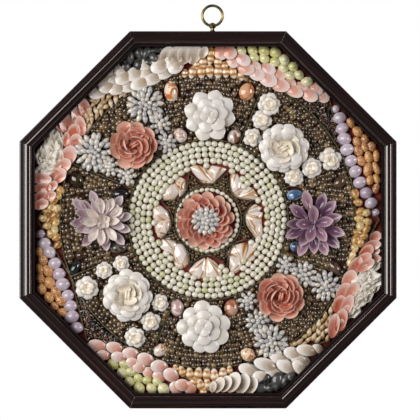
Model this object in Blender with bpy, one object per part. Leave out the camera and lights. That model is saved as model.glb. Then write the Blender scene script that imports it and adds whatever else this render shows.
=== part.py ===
"""Octagonal shell picture: a moulded hardwood frame with mitred corners and a brass hanging ring, round a
mosaic of shells that are glued to a board in compartments of edge-on card.

The picture is drawn lying flat, in metres: x to the right, y up, and z towards the viewer, with z = 0 at the
wall. The empty picture_centre then stands it up, so that its front faces -Y and the world's origin is the
place inside the top of the hanging ring where a hook bears. The shells of a compartment are fused into a bed.
"""

import math

import bmesh
import bpy
from mathutils import Vector
from mathutils.geometry import delaunay_2d_cdt

# Frame
WIDTH = 0.3600  # across the flats
FRAME_DEPTH = 0.0340
RAIL_WIDTH = 0.0146
REBATE_WIDTH = 0.0050
MAIN_BEAD_RADIUS = 0.0026
SMALL_BEAD_RADIUS = 0.0011
EDGE_ROUND_RADIUS = 0.0022
QUIRK_WIDTH = 0.0004  # the narrow flats beside the beads
EDGE_ROUND_DROP = 0.0032  # below the top of the main bead
SMALL_BEAD_DROP = 0.0038
LIP_DROP = 0.0052
LIP_WIDTH = 0.0017
GROOVE_DEPTH = 0.0012

# Boards
BACK_BOARD_THICKNESS = 0.0030
GROUND_BOARD_THICKNESS = 0.0090

# Hanger
RING_DIAMETER = 0.0220
RING_WIRE = 0.0026
RING_OFFSET = 0.0043  # to the right of the picture's middle
RING_SETBACK = 0.0120  # from the wall
RING_STEPS = 24
WIRE_STEPS = 8
STUD_FOOT_DIAMETER = 0.0076
STUD_FOOT_THICKNESS = 0.0009
STUD_STEM_DIAMETER = 0.0046
STUD_STEM_LENGTH = 0.0020
STUD_BALL_DIAMETER = 0.0072
STUD_BALL_HEIGHT = 0.0060
STUD_SHANK_DIAMETER = 0.0030
STUD_SHANK_LENGTH = 0.0090

# Card compartments
BORDER_DEPTH = 0.0230  # from the frame's inner edge to the outer circle, at the middle of a side
CARD_THICKNESS = 0.0010
CARD_HEIGHT = 0.0045
DOUBLE_CARD_SPACE = 0.0006  # between the card ring round the rosette and the scalloped card

# Middle
ROSETTE_RADIUS = 0.0268
ROSETTE_HEIGHT = 0.0075
ROSETTE_PETALS = 12
TUFT_RADIUS = 0.0134
TUFT_HEIGHT = 0.0042
TUFT_SHELLS = 7
BEAD_RING_WIDTH = 0.0043
BEAD_RING_HEIGHT = 0.0036
BEAD_RING_SHELLS = 20
LUNETTE_TIP_WIDTH = 0.0030
LUNETTE_DEPTH = 0.0132
LUNETTE_HEIGHT = 0.0048
BEAD_FIELD_WIDTH = 0.0281  # from the middle of a lunette's outer side to the middle circle's card
GREEN_BEAD_HEIGHT = 0.0050
BEAD_DIP = 0.55  # height between the beads, as a share of theirs
GREEN_BEAD_ROWS = 5

# Beds of small shells
SNAIL_PITCH = 0.0132
SNAIL_HEIGHT = 0.0042
SNAIL_DIP = 0.55  # height between the shells of a bed, as a share of theirs
POLISHED_SHELL_RISE = 0.0030  # above the snails
CAP_PITCH = 0.0076
CAP_HEIGHT = 0.0062
CAP_STEP = 0.0106  # length of the straight lines of its edge
CAP_EDGE = 0.30  # the nearest that a shell's middle is to the chevron, as a share of the pitch
LARGE_SHELL_DIP = 0.50
LARGE_SHELL_EDGE = 0.42  # the nearest that its middle is to the frame, as a share of its width
NEIGHBOUR_REACH = 2.5  # how many shells apart neighbours may be

# Shells of the four kinds of corner bed: the room that each takes along the chevrons and across them
NERITE_LENGTH = 0.0105
NERITE_WIDTH = 0.0098
NERITE_HEIGHT = 0.0078
PINK_VALVE_LENGTH = 0.0132
PINK_VALVE_WIDTH = 0.0086
PINK_VALVE_HEIGHT = 0.0066
CLAM_LENGTH = 0.0126
CLAM_WIDTH = 0.0096
CLAM_HEIGHT = 0.0084
FRILLED_LENGTH = 0.0130
FRILLED_WIDTH = 0.0098
FRILLED_HEIGHT = 0.0084

# Flowers and blossoms
CUP_FLOWER_HEIGHT = 0.0084
LONG_FLOWER_HEIGHT = 0.0092
ROSE_HEIGHT = 0.0104
FLOWER_FOOT = 0.45  # the foot's share of a flower's radius
FLORET_LOBES = 5
FLORET_OVERLAP = 0.92  # of the distance at which two would just touch
FLORET_HEIGHT = 0.0055
FLORET_MARGIN = 0.0075  # from the middle circle to the inner floret
SPRAY_PETALS = 10
SPRAY_HEIGHT = 0.0050
SPRAY_MARGIN = 0.0140  # from the middle circle to a spray
SPRAY_END_MARGIN = 0.0044  # from a spray to the outer circle
SPRAY_SIDE_REACH = 0.0124
SPRAY_CLEARANCE = 1.15  # share of the side reach that clears the rose, near which a spray's corners stand

# Clearances
GAP = 0.0003  # between any two pieces

SIDES = 8
SIDE_ANGLE = 2 * math.pi / SIDES
HALF_SIDE = SIDE_ANGLE / 2
POINTS = ("E", "NE", "N", "NW", "W", "SW", "S", "SE")
MIDDLE_STEPS = 48  # straight lengths round the middle circle
OUTER_STEPS = 48
INNER_STEPS = 32
TURNED_STEPS = 12

SIGHT = WIDTH / 2 - RAIL_WIDTH  # from the middle to the frame's inner edge
GROUND = BACK_BOARD_THICKNESS + GAP + GROUND_BOARD_THICKNESS
FLOOR = GROUND + GAP  # underside of the shells
SEAT = FLOOR + max(CARD_HEIGHT, SNAIL_HEIGHT) + GAP  # underside of what lies on the beds
CARD_HALF = CARD_THICKNESS / 2
BED_INSET = CARD_HALF + GAP  # from a card's middle line to the bed beside it
ROSETTE_CIRCLE = ROSETTE_RADIUS + GAP + BEAD_RING_WIDTH + GAP + CARD_HALF
LUNETTE_BOW = ROSETTE_CIRCLE + CARD_HALF + DOUBLE_CARD_SPACE + CARD_THICKNESS + GAP
LUNETTE_SIDE = LUNETTE_BOW + LUNETTE_DEPTH
MIDDLE_CIRCLE = LUNETTE_SIDE + GAP + BEAD_FIELD_WIDTH + BED_INSET
OUTER_CIRCLE = SIGHT - BORDER_DEPTH
APEX = SIGHT - GAP - CARD_THICKNESS  # from the middle to the point of a chevron
CHEVRON_SLOPE = math.atan2(APEX - OUTER_CIRCLE * math.cos(HALF_SIDE), OUTER_CIRCLE * math.sin(HALF_SIDE))

# Flowers and florets fill the depth of a compartment.
COMPARTMENT = OUTER_CIRCLE - MIDDLE_CIRCLE
CUP_FLOWER_RADIUS = 0.381 * COMPARTMENT
LONG_FLOWER_RADIUS = 0.416 * COMPARTMENT
ROSE_RADIUS = 0.352 * COMPARTMENT
FLORET_RADII = (0.125 * COMPARTMENT, 0.142 * COMPARTMENT, 0.154 * COMPARTMENT)  # from the inner one out
SPRAY_REACH = (COMPARTMENT - SPRAY_MARGIN - SPRAY_END_MARGIN) / 2  # from its middle to its far tips

# Each tier of a flower is a ring of petals: (share of the radius at the petals, share between them, share of
# the height at the petals, share between them, 1 if its petals stand over the gaps of the tier below).
CUP_TIERS = (
    (1.00, 0.80, 0.54, 0.24, 0),
    (0.72, 0.70, 0.40, 0.36, 0),
    (0.56, 0.44, 1.00, 0.55, 1),
    (0.28, 0.28, 0.67, 0.67, 0),
)
LONG_TIERS = (
    (1.00, 0.64, 0.59, 0.17, 0),
    (0.62, 0.58, 0.39, 0.30, 0),
    (0.56, 0.38, 1.00, 0.52, 1),
    (0.22, 0.22, 0.65, 0.65, 0),
)
ROSE_TIERS = (
    (1.00, 0.91, 0.33, 0.21, 0),
    (0.80, 0.72, 0.62, 0.46, 1),
    (0.54, 0.48, 0.83, 0.67, 0),
    (0.26, 0.24, 0.94, 0.85, 1),
)
FLORET_TIERS = ((1.00, 0.84, 0.0, 0.0, 0), (0.62, 0.50, 1.00, 0.72, 0))
SPRAY_TIERS = ((1.00, 0.82, 0.0, 0.0, 0), (0.74, 0.60, 0.72, 0.36, 0), (0.34, 0.34, 1.00, 0.70, 1))
ROSETTE_TIERS = ((1.00, 0.93, 0.0, 0.0, 0), (0.84, 0.78, 0.72, 0.50, 0), (0.60, 0.56, 1.00, 0.80, 1))
TUFT_TIERS = ((1.00, 0.85, 0.0, 0.0, 0), (0.62, 0.50, 1.00, 0.62, 0))

# (petals, radius, height, tiers, the middle's share of the height, colour)
FLOWERS = {
    "N": (9, CUP_FLOWER_RADIUS, CUP_FLOWER_HEIGHT, CUP_TIERS, 0.74, "eeeae7"),
    "S": (9, CUP_FLOWER_RADIUS, CUP_FLOWER_HEIGHT, CUP_TIERS, 0.74, "eeeae7"),
    "W": (12, LONG_FLOWER_RADIUS, LONG_FLOWER_HEIGHT, LONG_TIERS, 0.74, "dccfcb"),
    "E": (12, LONG_FLOWER_RADIUS, LONG_FLOWER_HEIGHT, LONG_TIERS, 0.74, "8d6683"),
    "NW": (8, ROSE_RADIUS, ROSE_HEIGHT, ROSE_TIERS, 1.0, "c8755f"),
    "SE": (8, ROSE_RADIUS, ROSE_HEIGHT, ROSE_TIERS, 1.0, "c8755f"),
    "NE": (8, ROSE_RADIUS, ROSE_HEIGHT, ROSE_TIERS, 1.0, "ece3d3"),
    "SW": (8, ROSE_RADIUS, ROSE_HEIGHT, ROSE_TIERS, 1.0, "efece8"),
}

# Shells of the corner beds, anticlockwise from the corner above E, each kind twice.
CORNERS = (
    ("nerites_and_ovals", NERITE_LENGTH, NERITE_WIDTH, NERITE_HEIGHT, "c3a68f"),
    ("pink_valves", PINK_VALVE_LENGTH, PINK_VALVE_WIDTH, PINK_VALVE_HEIGHT, "e2c6b4"),
    ("clams_and_mussels", CLAM_LENGTH, CLAM_WIDTH, CLAM_HEIGHT, "d8cfc4"),
    ("frilled_shells", FRILLED_LENGTH, FRILLED_WIDTH, FRILLED_HEIGHT, "dfb6a4"),
)
CAP_COLOURS = {"N": "d9b489", "S": "d9b489", "E": "cf9f55", "W": "cf9f55"}
CAP_COLOURS.update({"NE": "4f433a", "SW": "4f433a", "NW": "cdb48a", "SE": "cdb48a"})

# Polished single shells in the upright compartments: (share of the way out, share of the way to the side).
POLISHED = ((0.36, 0.66), (0.36, -0.66), (0.74, 0.52), (0.74, -0.52))


def polar(radius, angle, centre=(0.0, 0.0)):
    return (centre[0] + radius * math.cos(angle), centre[1] + radius * math.sin(angle))


def turned(points, angle):
    """Flat points turned about the picture's middle."""
    c = math.cos(angle)
    s = math.sin(angle)
    return [(c * x - s * y, s * x + c * y) for x, y in points]


def circle(radius, steps):
    return [polar(radius, 2 * math.pi * i / steps) for i in range(steps)]


def octagon(apothem):
    return [polar(apothem / math.cos(HALF_SIDE), HALF_SIDE + SIDE_ANGLE * i) for i in range(SIDES)]


def arc_angles(limit, steps_round):
    """Angles from -limit to limit. Those between are whole steps, so that nested arcs are parallel."""
    step = 2 * math.pi / steps_round
    most = math.ceil(limit / step - 0.3)
    return [-limit] + [step * i for i in range(1 - most, most)] + [limit]


def inset(points, distances):
    """An anticlockwise outline with each edge moved in by its own distance, edge i starting at point i."""
    moved = []
    for i, distance in enumerate(distances):
        start = Vector(points[i])
        along = (Vector(points[(i + 1) % len(points)]) - start).normalized()
        moved.append((start + distance * Vector((-along.y, along.x)), along))
    result = []
    for i, (start, along) in enumerate(moved):
        before, along_before = moved[i - 1]
        reach = (start - before).cross(along) / along_before.cross(along)
        result.append(tuple(before + reach * along_before))
    return result


def material(name, colour, roughness, metallic=0.0):
    """A plain finish from an sRGB colour."""
    if name in bpy.data.materials:
        return bpy.data.materials[name]
    finish = bpy.data.materials.new(name)
    finish.use_nodes = True
    shader = finish.node_tree.nodes["Principled BSDF"]
    channels = [int(colour[i : i + 2], 16) / 255 for i in (0, 2, 4)]
    linear = [c / 12.92 if c <= 0.04045 else ((c + 0.055) / 1.055) ** 2.4 for c in channels]
    shader.inputs["Base Color"].default_value = (*linear, 1.0)
    shader.inputs["Roughness"].default_value = roughness
    shader.inputs["Metallic"].default_value = metallic
    finish.diffuse_color = (*linear, 1.0)
    return finish


def piece(name, points, faces, finish, smooth=False):
    """A named closed piece, with its faces turned outwards, on the picture's empty."""
    mesh = bpy.data.meshes.new(name)
    mesh.from_pydata(points, [], faces)
    work = bmesh.new()
    work.from_mesh(mesh)
    bmesh.ops.recalc_face_normals(work, faces=work.faces)
    work.to_mesh(mesh)
    work.free()
    mesh.materials.append(finish)
    if smooth:
        mesh.shade_smooth()
        mesh.set_sharp_from_angle(angle=math.radians(40))
    made = bpy.data.objects.new(name, mesh)
    bpy.context.scene.collection.objects.link(made)
    made.parent = picture_centre
    return made


def helper(made):
    """Marks a shape that only cuts or adds to another."""
    made.hide_render = True
    made.display_type = "WIRE"
    return made


def combine(target, operation, other):
    modifier = target.modifiers.new(f"{operation.lower()} {other.name}", "BOOLEAN")
    modifier.operation = operation
    modifier.solver = "EXACT"
    modifier.object = other


def loft(loops, around=False):
    """Points and faces of a skin over closed loops of equal length. Its ends are closed with flat faces or,
    if around is set, the last loop joins the first. Faces that aren't flat are folded the lower way."""
    count = len(loops[0])
    points = [point for loop in loops for point in loop]
    faces = []
    for i in range(len(loops) - (0 if around else 1)):
        here = i * count
        there = (i + 1) % len(loops) * count
        for j in range(count):
            k = (j + 1) % count
            a, b, c, d = here + j, here + k, there + k, there + j
            if points[a][2] + points[c][2] <= points[b][2] + points[d][2]:
                faces += [(a, b, c), (a, c, d)]
            else:
                faces += [(b, c, d), (b, d, a)]
    if not around:
        faces.append(tuple(range(count)))
        faces.append(tuple(range(len(points) - count, len(points))))
    return points, faces


def prism(outline, bottom, top):
    return loft([[(x, y, z) for x, y in outline] for z in (bottom, top)])


def triangles(outlines, inner_points=()):
    """Triangles, as point numbers, that fill the first outline round the others and use the inner points."""
    points = []
    loops = []
    for outline in outlines:
        loops.append(list(range(len(points), len(points) + len(outline))))
        points += [Vector(p) for p in outline]
    points += [Vector(p) for p in inner_points]
    inside_with_holes = 2
    found = delaunay_2d_cdt(points, [], loops, inside_with_holes, 1e-7)
    source = [origins[0] for origins in found[3]]
    return [tuple(source[i] for i in face) for face in found[2]]


def rail_profile():
    """The moulding, as (distance in from its outer side, height from the wall), from the back's outer edge."""
    points = [(0.0, 0.0)]

    def arc(x, z, radius, start, end, steps):
        for i in range(steps + 1):
            angle = math.radians(start + (end - start) * i / steps)
            points.append((x + radius * math.cos(angle), z + radius * math.sin(angle)))

    edge_top = FRAME_DEPTH - EDGE_ROUND_DROP
    arc(EDGE_ROUND_RADIUS, edge_top - EDGE_ROUND_RADIUS, EDGE_ROUND_RADIUS, 180, 90, 2)
    bead = EDGE_ROUND_RADIUS + QUIRK_WIDTH + MAIN_BEAD_RADIUS
    arc(bead, FRAME_DEPTH - MAIN_BEAD_RADIUS, MAIN_BEAD_RADIUS, 195, 10, 5)
    lip_start = RAIL_WIDTH - LIP_WIDTH
    small_bead = lip_start - QUIRK_WIDTH - SMALL_BEAD_RADIUS
    arc(small_bead, FRAME_DEPTH - SMALL_BEAD_DROP - SMALL_BEAD_RADIUS, SMALL_BEAD_RADIUS, 165, 15, 3)
    lip_top = FRAME_DEPTH - LIP_DROP
    points.append((lip_start - QUIRK_WIDTH, lip_top - GROOVE_DEPTH))
    points.append((lip_start, lip_top))
    points.append((RAIL_WIDTH, lip_top))
    points.append((RAIL_WIDTH, GROUND + GAP))
    points.append((RAIL_WIDTH - REBATE_WIDTH, GROUND + GAP))
    points.append((RAIL_WIDTH - REBATE_WIDTH, 0.0))
    return points


def make_frame():
    wood = material("dark_hardwood", "24161a", 0.25)
    profile = rail_profile()
    rails = {}
    for i, point in enumerate(POINTS):
        ends = []
        for sign in (-1, 1):
            end = []
            for across, height in profile:
                out = WIDTH / 2 - across
                along = sign * (out * math.sin(HALF_SIDE) - GAP / 2) / math.cos(HALF_SIDE)
                x, y = turned([(out, along)], SIDE_ANGLE * i)[0]
                end.append((x, y, height))
            ends.append(end)
        rails[point] = piece(f"frame_rail_{point}", *loft(ends), wood)
    return rails


def make_boards():
    apothem = WIDTH / 2 - RAIL_WIDTH + REBATE_WIDTH - GAP
    back = prism(octagon(apothem), 0.0, BACK_BOARD_THICKNESS)
    piece("back_board", *back, material("plain_board", "6b5138", 0.8))
    ground = prism(octagon(apothem), BACK_BOARD_THICKNESS + GAP, GROUND)
    piece("ground_board", *ground, material("red_paper", "5c1f1a", 0.85))


def turned_column(profile):
    """A skin round the upright through the hanger, from (radius, height) points, foot first."""
    loops = []
    for radius, height in profile:
        loop = []
        for i in range(TURNED_STEPS):
            x, z = polar(radius, 2 * math.pi * i / TURNED_STEPS, (RING_OFFSET, RING_SETBACK))
            loop.append((x, height, z))
        loops.append(loop)
    return loft(loops)


def ring_points(height, wire_radius):
    """The skin of a ring round (RING_OFFSET, height), flat to the picture."""
    loops = []
    ring_radius = (RING_DIAMETER - RING_WIRE) / 2
    for i in range(RING_STEPS):
        angle = 2 * math.pi * i / RING_STEPS
        loop = []
        for j in range(WIRE_STEPS):
            turn = 2 * math.pi * j / WIRE_STEPS
            x, y = polar(ring_radius + wire_radius * math.cos(turn), angle, (RING_OFFSET, height))
            loop.append((x, y, RING_SETBACK + wire_radius * math.sin(turn)))
        loops.append(loop)
    return loft(loops, around=True)


def make_hanger(top_rail):
    brass = material("aged_brass", "9a8a55", 0.35, 1.0)
    foot = WIDTH / 2 + GAP
    stem = foot + STUD_FOOT_THICKNESS
    stem_radius = STUD_STEM_DIAMETER / 2
    profile = [(STUD_SHANK_DIAMETER / 2, foot - GAP - STUD_SHANK_LENGTH), (STUD_SHANK_DIAMETER / 2, foot)]
    profile += [(STUD_FOOT_DIAMETER / 2, foot), (STUD_FOOT_DIAMETER / 2, stem - STUD_FOOT_THICKNESS / 3)]
    profile += [(stem_radius, stem), (0.8 * stem_radius, stem + STUD_STEM_LENGTH / 2)]
    ball = stem + STUD_STEM_LENGTH + STUD_BALL_HEIGHT / 2
    for degrees in (-60, -30, 0, 30, 60, 80):
        angle = math.radians(degrees)
        radius = STUD_BALL_DIAMETER / 2 * math.cos(angle)
        profile.append((radius, ball + STUD_BALL_HEIGHT / 2 * math.sin(angle)))
    stud = piece("ring_stud", *turned_column(profile), brass, smooth=True)
    bore = (STUD_SHANK_DIAMETER / 2 + GAP, foot - 2 * GAP - STUD_SHANK_LENGTH, foot + STUD_FOOT_THICKNESS)
    hole = turned_column([(bore[0], bore[1]), (bore[0], bore[2])])
    combine(top_rail, "DIFFERENCE", helper(piece("stud_hole", *hole, brass)))
    middle = hanger_height()
    eye = helper(piece("ring_eye", *ring_points(middle, RING_WIRE / 2 + GAP), brass))
    combine(stud, "DIFFERENCE", eye)
    piece("hanging_ring", *ring_points(middle, RING_WIRE / 2), brass, smooth=True)


def hanger_height():
    """Height of the hanging ring's middle, whose wire passes through the middle of the stud's ball."""
    ball = WIDTH / 2 + GAP + STUD_FOOT_THICKNESS + STUD_STEM_LENGTH + STUD_BALL_HEIGHT / 2
    return ball + (RING_DIAMETER - RING_WIRE) / 2


def sector_outline(gap_from_card_line):
    """The compartment on the +X axis between the two circles and two radial cards."""
    outer = OUTER_CIRCLE - gap_from_card_line
    inner = MIDDLE_CIRCLE + gap_from_card_line
    outer_limit = HALF_SIDE - math.asin(gap_from_card_line / outer)
    inner_limit = HALF_SIDE - math.asin(gap_from_card_line / inner)
    far = [polar(outer, angle) for angle in arc_angles(outer_limit, OUTER_STEPS)]
    near = [polar(inner, angle) for angle in arc_angles(inner_limit, MIDDLE_STEPS)]
    return far + near[::-1]


def cap_outline(gap_from_card_line):
    """The space on the +X axis between the outer circle and a chevron of card."""
    base = OUTER_CIRCLE + gap_from_card_line
    side = APEX * math.cos(CHEVRON_SLOPE) - gap_from_card_line  # from the middle to the chevron's line
    limit = CHEVRON_SLOPE - math.acos(side / base)
    arc = [polar(base, angle) for angle in arc_angles(limit, OUTER_STEPS)]
    return arc[::-1] + [(side / math.cos(CHEVRON_SLOPE), 0.0)]


def corner_outline():
    """The space round the +X axis between two chevrons and the corner of the frame."""
    lowest, highest = turned([(APEX, 0.0)], -HALF_SIDE)[0], turned([(APEX, 0.0)], HALF_SIDE)[0]
    outline = [(OUTER_CIRCLE, 0.0), lowest, ((SIGHT - GAP) / math.cos(HALF_SIDE), 0.0), highest]
    return inset(outline, (BED_INSET, GAP, GAP, BED_INSET))


def make_partitions():
    """The two circles, the radial cards and the chevrons, glued together at their joints."""
    star = []
    for i in range(SIDES):
        star += [polar(APEX, SIDE_ANGLE * i), polar(OUTER_CIRCLE, SIDE_ANGLE * i + HALF_SIDE)]
    outlines = [inset(star, [-CARD_HALF] * len(star))]
    for i in range(SIDES):
        outlines.append(turned(cap_outline(CARD_HALF), SIDE_ANGLE * i))
        outlines.append(turned(sector_outline(CARD_HALF), SIDE_ANGLE * i))
    outlines.append(circle(MIDDLE_CIRCLE - CARD_HALF, MIDDLE_STEPS))
    flat = triangles(outlines)
    plan = [point for outline in outlines for point in outline]
    count = len(plan)
    points = [(x, y, FLOOR) for x, y in plan] + [(x, y, FLOOR + CARD_HEIGHT) for x, y in plan]
    faces = flat + [tuple(i + count for i in face) for face in flat]
    first = 0
    for outline in outlines:
        for i in range(len(outline)):
            a = first + i
            b = first + (i + 1) % len(outline)
            faces.append((a, b, b + count, a + count))
        first += len(outline)
    piece("card_partitions", points, faces, material("gilt_card", "8d8657", 0.5))


def spoked(count, radius, height):
    """A closed loop with its radius a function of the angle, and its height one of number and angle."""
    loop = []
    for i in range(count):
        angle = 2 * math.pi * i / count
        loop.append((*polar(radius(angle), angle), height(i, angle)))
    return loop


def band(name, spokes, rows, inner, outer, height, finish):
    """A ring of fused shells between two radii, low at its edges, with every other point inside it raised."""
    loops = []
    for row in range(rows + 1):
        edge = row in (0, rows)

        def radius(angle, share=row / rows):
            return inner(angle) + share * (outer(angle) - inner(angle))

        def top(i, angle, row=row, edge=edge):
            if edge:
                return FLOOR
            return FLOOR + height * (1.0 if (i + row) % 2 else BEAD_DIP)

        loops.append(spoked(spokes, radius, top))
    piece(name, *loft(loops, around=True), finish)


def card_strip(name, steps, inner):
    """A closed strip of card on edge, whose inner side is at a distance that is a function of the angle."""
    loops = []
    for outside, above in ((0, 0), (0, 1), (1, 1), (1, 0)):

        def radius(angle, outside=outside):
            return inner(angle) + outside * CARD_THICKNESS

        def level(i, angle, above=above):
            return FLOOR + above * CARD_HEIGHT

        loops.append(spoked(steps, radius, level))
    piece(name, *loft(loops, around=True), material("gilt_card", "8d8657", 0.5))


def lunette_side(angle):
    """How far from the middle the lunettes' straight outer sides are."""
    return LUNETTE_SIDE / math.cos(off_axis(angle))


def off_axis(angle):
    """The angle from the nearest lunette's middle."""
    return (angle + HALF_SIDE) % SIDE_ANGLE - HALF_SIDE


def lunette_bow(angle):
    """How far from the middle the lunettes' bowed inner sides are: an ellipse hung between their tips."""
    share = abs(off_axis(angle)) / HALF_SIDE
    depth = LUNETTE_DEPTH * math.sqrt(max(0.0, 1.0 - share**2))
    return lunette_side(angle) - max(depth, LUNETTE_TIP_WIDTH)


def make_middle():
    size = (ROSETTE_RADIUS, ROSETTE_RADIUS, ROSETTE_HEIGHT)
    rosette = blossom_loops(ROSETTE_PETALS, size, ROSETTE_TIERS, FLOOR)
    piece("rosette", *loft(rosette), material("salmon_shell", "c8755f", 0.4))
    size = (TUFT_RADIUS, TUFT_RADIUS, TUFT_HEIGHT)
    tuft = blossom_loops(TUFT_SHELLS, size, TUFT_TIERS, FLOOR + ROSETTE_HEIGHT + GAP)
    piece("rosette_centre", *loft(tuft), material("rice_shell", "d3d6da", 0.3))
    green = material("green_shell", "d9d9bd", 0.35)
    inner_card = ROSETTE_CIRCLE - CARD_HALF
    between = (lambda angle: ROSETTE_RADIUS + GAP, lambda angle: inner_card - GAP)
    band("bead_ring", 2 * BEAD_RING_SHELLS, 2, *between, BEAD_RING_HEIGHT, green)
    card_strip("card_inner_ring", INNER_STEPS, lambda angle: inner_card)
    card_strip("card_scallops", MIDDLE_STEPS, lambda angle: lunette_bow(angle) - GAP - CARD_THICKNESS)
    make_lunettes()
    between = (lambda angle: lunette_side(angle) + GAP, lambda angle: MIDDLE_CIRCLE - BED_INSET)
    band("green_bead_field", MIDDLE_STEPS, GREEN_BEAD_ROWS, *between, GREEN_BEAD_HEIGHT, green)


def make_lunettes():
    """Half-moons of pearl, tip to tip: low at the edges and tips, and crowned along the middle."""
    loops = []
    for share, rise in ((0.0, 0.0), (0.35, 1.0), (0.7, 0.8), (1.0, 0.0)):

        def radius(angle, share=share):
            return lunette_bow(angle) + share * (lunette_side(angle) - lunette_bow(angle))

        def top(i, angle, rise=rise):
            fullness = 1.0 - 0.6 * (abs(off_axis(angle)) / HALF_SIDE) ** 3
            return FLOOR + rise * fullness * LUNETTE_HEIGHT

        loops.append(spoked(MIDDLE_STEPS, radius, top))
    piece("pearl_lunettes", *loft(loops, around=True), material("mother_of_pearl", "d9c3b4", 0.25))


def blossom_loops(petals, size, tiers, floor, centre=(0.0, 0.0), turn=0.0, foot=None):
    """Loops of a flower with two spokes to a petal. size is (reach along turn, reach across it, height), and
    foot is the share of the radius that it stands on, where its lowest tier is raised."""
    length, width, height = size
    tiers = ([(foot, foot, 0.0, 0.0, 0)] if foot else []) + list(tiers)
    loops = []
    for tip, notch, crest, dip, phase in tiers:
        loop = []
        for i in range(2 * petals):
            between = (i + phase) % 2
            x, y = polar(notch if between else tip, math.pi * i / petals)
            x, y = turned([(length * x, width * y)], turn)[0]
            loop.append((centre[0] + x, centre[1] + y, floor + height * (dip if between else crest)))
        loops.append(loop)
    return loops


def flower_place(point):
    """A flower's inner petals reach the middle circle."""
    radius = FLOWERS[point][1]
    return polar(MIDDLE_CIRCLE + radius, SIDE_ANGLE * POINTS.index(point))


def make_flowers():
    for point, (petals, radius, height, tiers, middle, colour) in FLOWERS.items():
        angle = SIDE_ANGLE * POINTS.index(point)
        centre = flower_place(point)
        loops = blossom_loops(petals, (radius, radius, height), tiers, SEAT, centre, angle, FLOWER_FOOT)
        points, faces = loft(loops)
        top = len(points)
        points.append((*centre, SEAT + middle * height))
        last = faces.pop()
        faces += [(last[i - 1], last[i], top) for i in range(len(last))]
        piece(f"flower_{point}", points, faces, material(f"flower_shell_{colour}", colour, 0.35))


def clear_angle(distance, spacing):
    """How far off the axis a blossom at this distance is, with that spacing from the rose on the axis."""
    rose = MIDDLE_CIRCLE + ROSE_RADIUS
    cosine = (distance**2 + rose**2 - spacing**2) / (2 * distance * rose)
    return math.acos(cosine)


def make_florets():
    """Three small blossoms in a radial row on each side of a white rose, which touch each other."""
    finish = material("white_floret", "ece6da", 0.4)
    places = [MIDDLE_CIRCLE + FLORET_MARGIN + FLORET_RADII[0]]
    for i in (1, 2):
        places.append(places[-1] + FLORET_OVERLAP * (FLORET_RADII[i - 1] + FLORET_RADII[i]))
    off = max(clear_angle(place, ROSE_RADIUS + FLORET_RADII[i] + GAP) for i, place in enumerate(places))
    for point in ("NE", "SW"):
        for side, sign in (("left", 1), ("right", -1)):
            angle = SIDE_ANGLE * POINTS.index(point) + sign * off
            made = []
            for i, place in enumerate(places):
                size = (FLORET_RADII[i], FLORET_RADII[i], FLORET_HEIGHT)
                loops = blossom_loops(FLORET_LOBES, size, FLORET_TIERS, SEAT, polar(place, angle), angle + i)
                name = f"florets_{point}_{side}"
                made.append(piece(name if i == 1 else f"{name}_{i}", *loft(loops), finish))
            for other in (made[0], made[2]):
                combine(made[1], "UNION", helper(other))


def make_sprays():
    """Fans of rice shells on each side of a salmon rose."""
    finish = material("rice_shell", "d3d6da", 0.3)
    size = (SPRAY_REACH, SPRAY_SIDE_REACH, SPRAY_HEIGHT)
    place = MIDDLE_CIRCLE + SPRAY_MARGIN + SPRAY_REACH
    off = clear_angle(place, ROSE_RADIUS + SPRAY_CLEARANCE * SPRAY_SIDE_REACH + GAP)
    for point in ("NW", "SE"):
        for side, sign in (("left", 1), ("right", -1)):
            angle = SIDE_ANGLE * POINTS.index(point) + sign * off
            loops = blossom_loops(SPRAY_PETALS, size, SPRAY_TIERS, SEAT, polar(place, angle), angle)
            piece(f"daisies_{point}_{side}", *loft(loops), finish)


def dips_between(peaks, reach):
    """A point in the middle of each three neighbouring shells."""
    found = delaunay_2d_cdt([Vector(p) for p in peaks], [], [], 0, 1e-7)
    dips = []
    for face in found[2]:
        corners = [found[0][i] for i in face]
        longest = max((corners[i] - corners[i - 1]).length for i in range(3))
        if longest < reach:
            dips.append(tuple(sum(corners, Vector((0.0, 0.0))) / 3))
    return dips


def stepped(outline, longest):
    """An outline with its long edges divided evenly."""
    result = []
    for i, end in enumerate(outline):
        start = outline[i - 1]
        steps = math.ceil(math.dist(start, end) / longest)
        for j in range(steps):
            share = (j + 1) / steps
            result.append((start[0] + share * (end[0] - start[0]), start[1] + share * (end[1] - start[1])))
    return result


def shell_bed(name, outline, peaks, dips, dip_height, finish, angle):
    """A bed of shells with this outline, low at its edge: peaks are (x, y, height) and dips (x, y)."""
    inner = [(x, y) for x, y, height in peaks] + dips
    heights = [0.0] * len(outline) + [height for x, y, height in peaks] + [dip_height] * len(dips)
    flat = turned(list(outline) + inner, angle)
    points = [(x, y, FLOOR + heights[i]) for i, (x, y) in enumerate(flat)]
    faces = triangles([flat[: len(outline)]], flat[len(outline) :]) + triangles([flat[: len(outline)]])
    piece(name, points, faces, finish)


def edge_gap(point, outline):
    """The distance from a point inside an outline to the nearest point of its edge."""
    here = Vector(point)
    nearest = math.inf
    for i in range(len(outline)):
        start = Vector(outline[i - 1])
        along = Vector(outline[i]) - start
        share = min(1.0, max(0.0, (here - start).dot(along) / along.length_squared))
        nearest = min(nearest, (here - start - share * along).length)
    return nearest


def rows_in_sector():
    """Shells in rows along the circles, as many as fit each row."""
    places = []
    depth = COMPARTMENT - 2 * BED_INSET
    rows = round(depth / SNAIL_PITCH)
    for row in range(rows):
        radius = MIDDLE_CIRCLE + BED_INSET + depth * (row + 0.5) / rows
        width = 2 * (radius * HALF_SIDE - BED_INSET)
        count = round(width / SNAIL_PITCH)
        for i in range(count):
            across = width * ((i + 0.5) / count - 0.5)
            places.append(polar(radius, across / radius))
    return places


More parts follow.
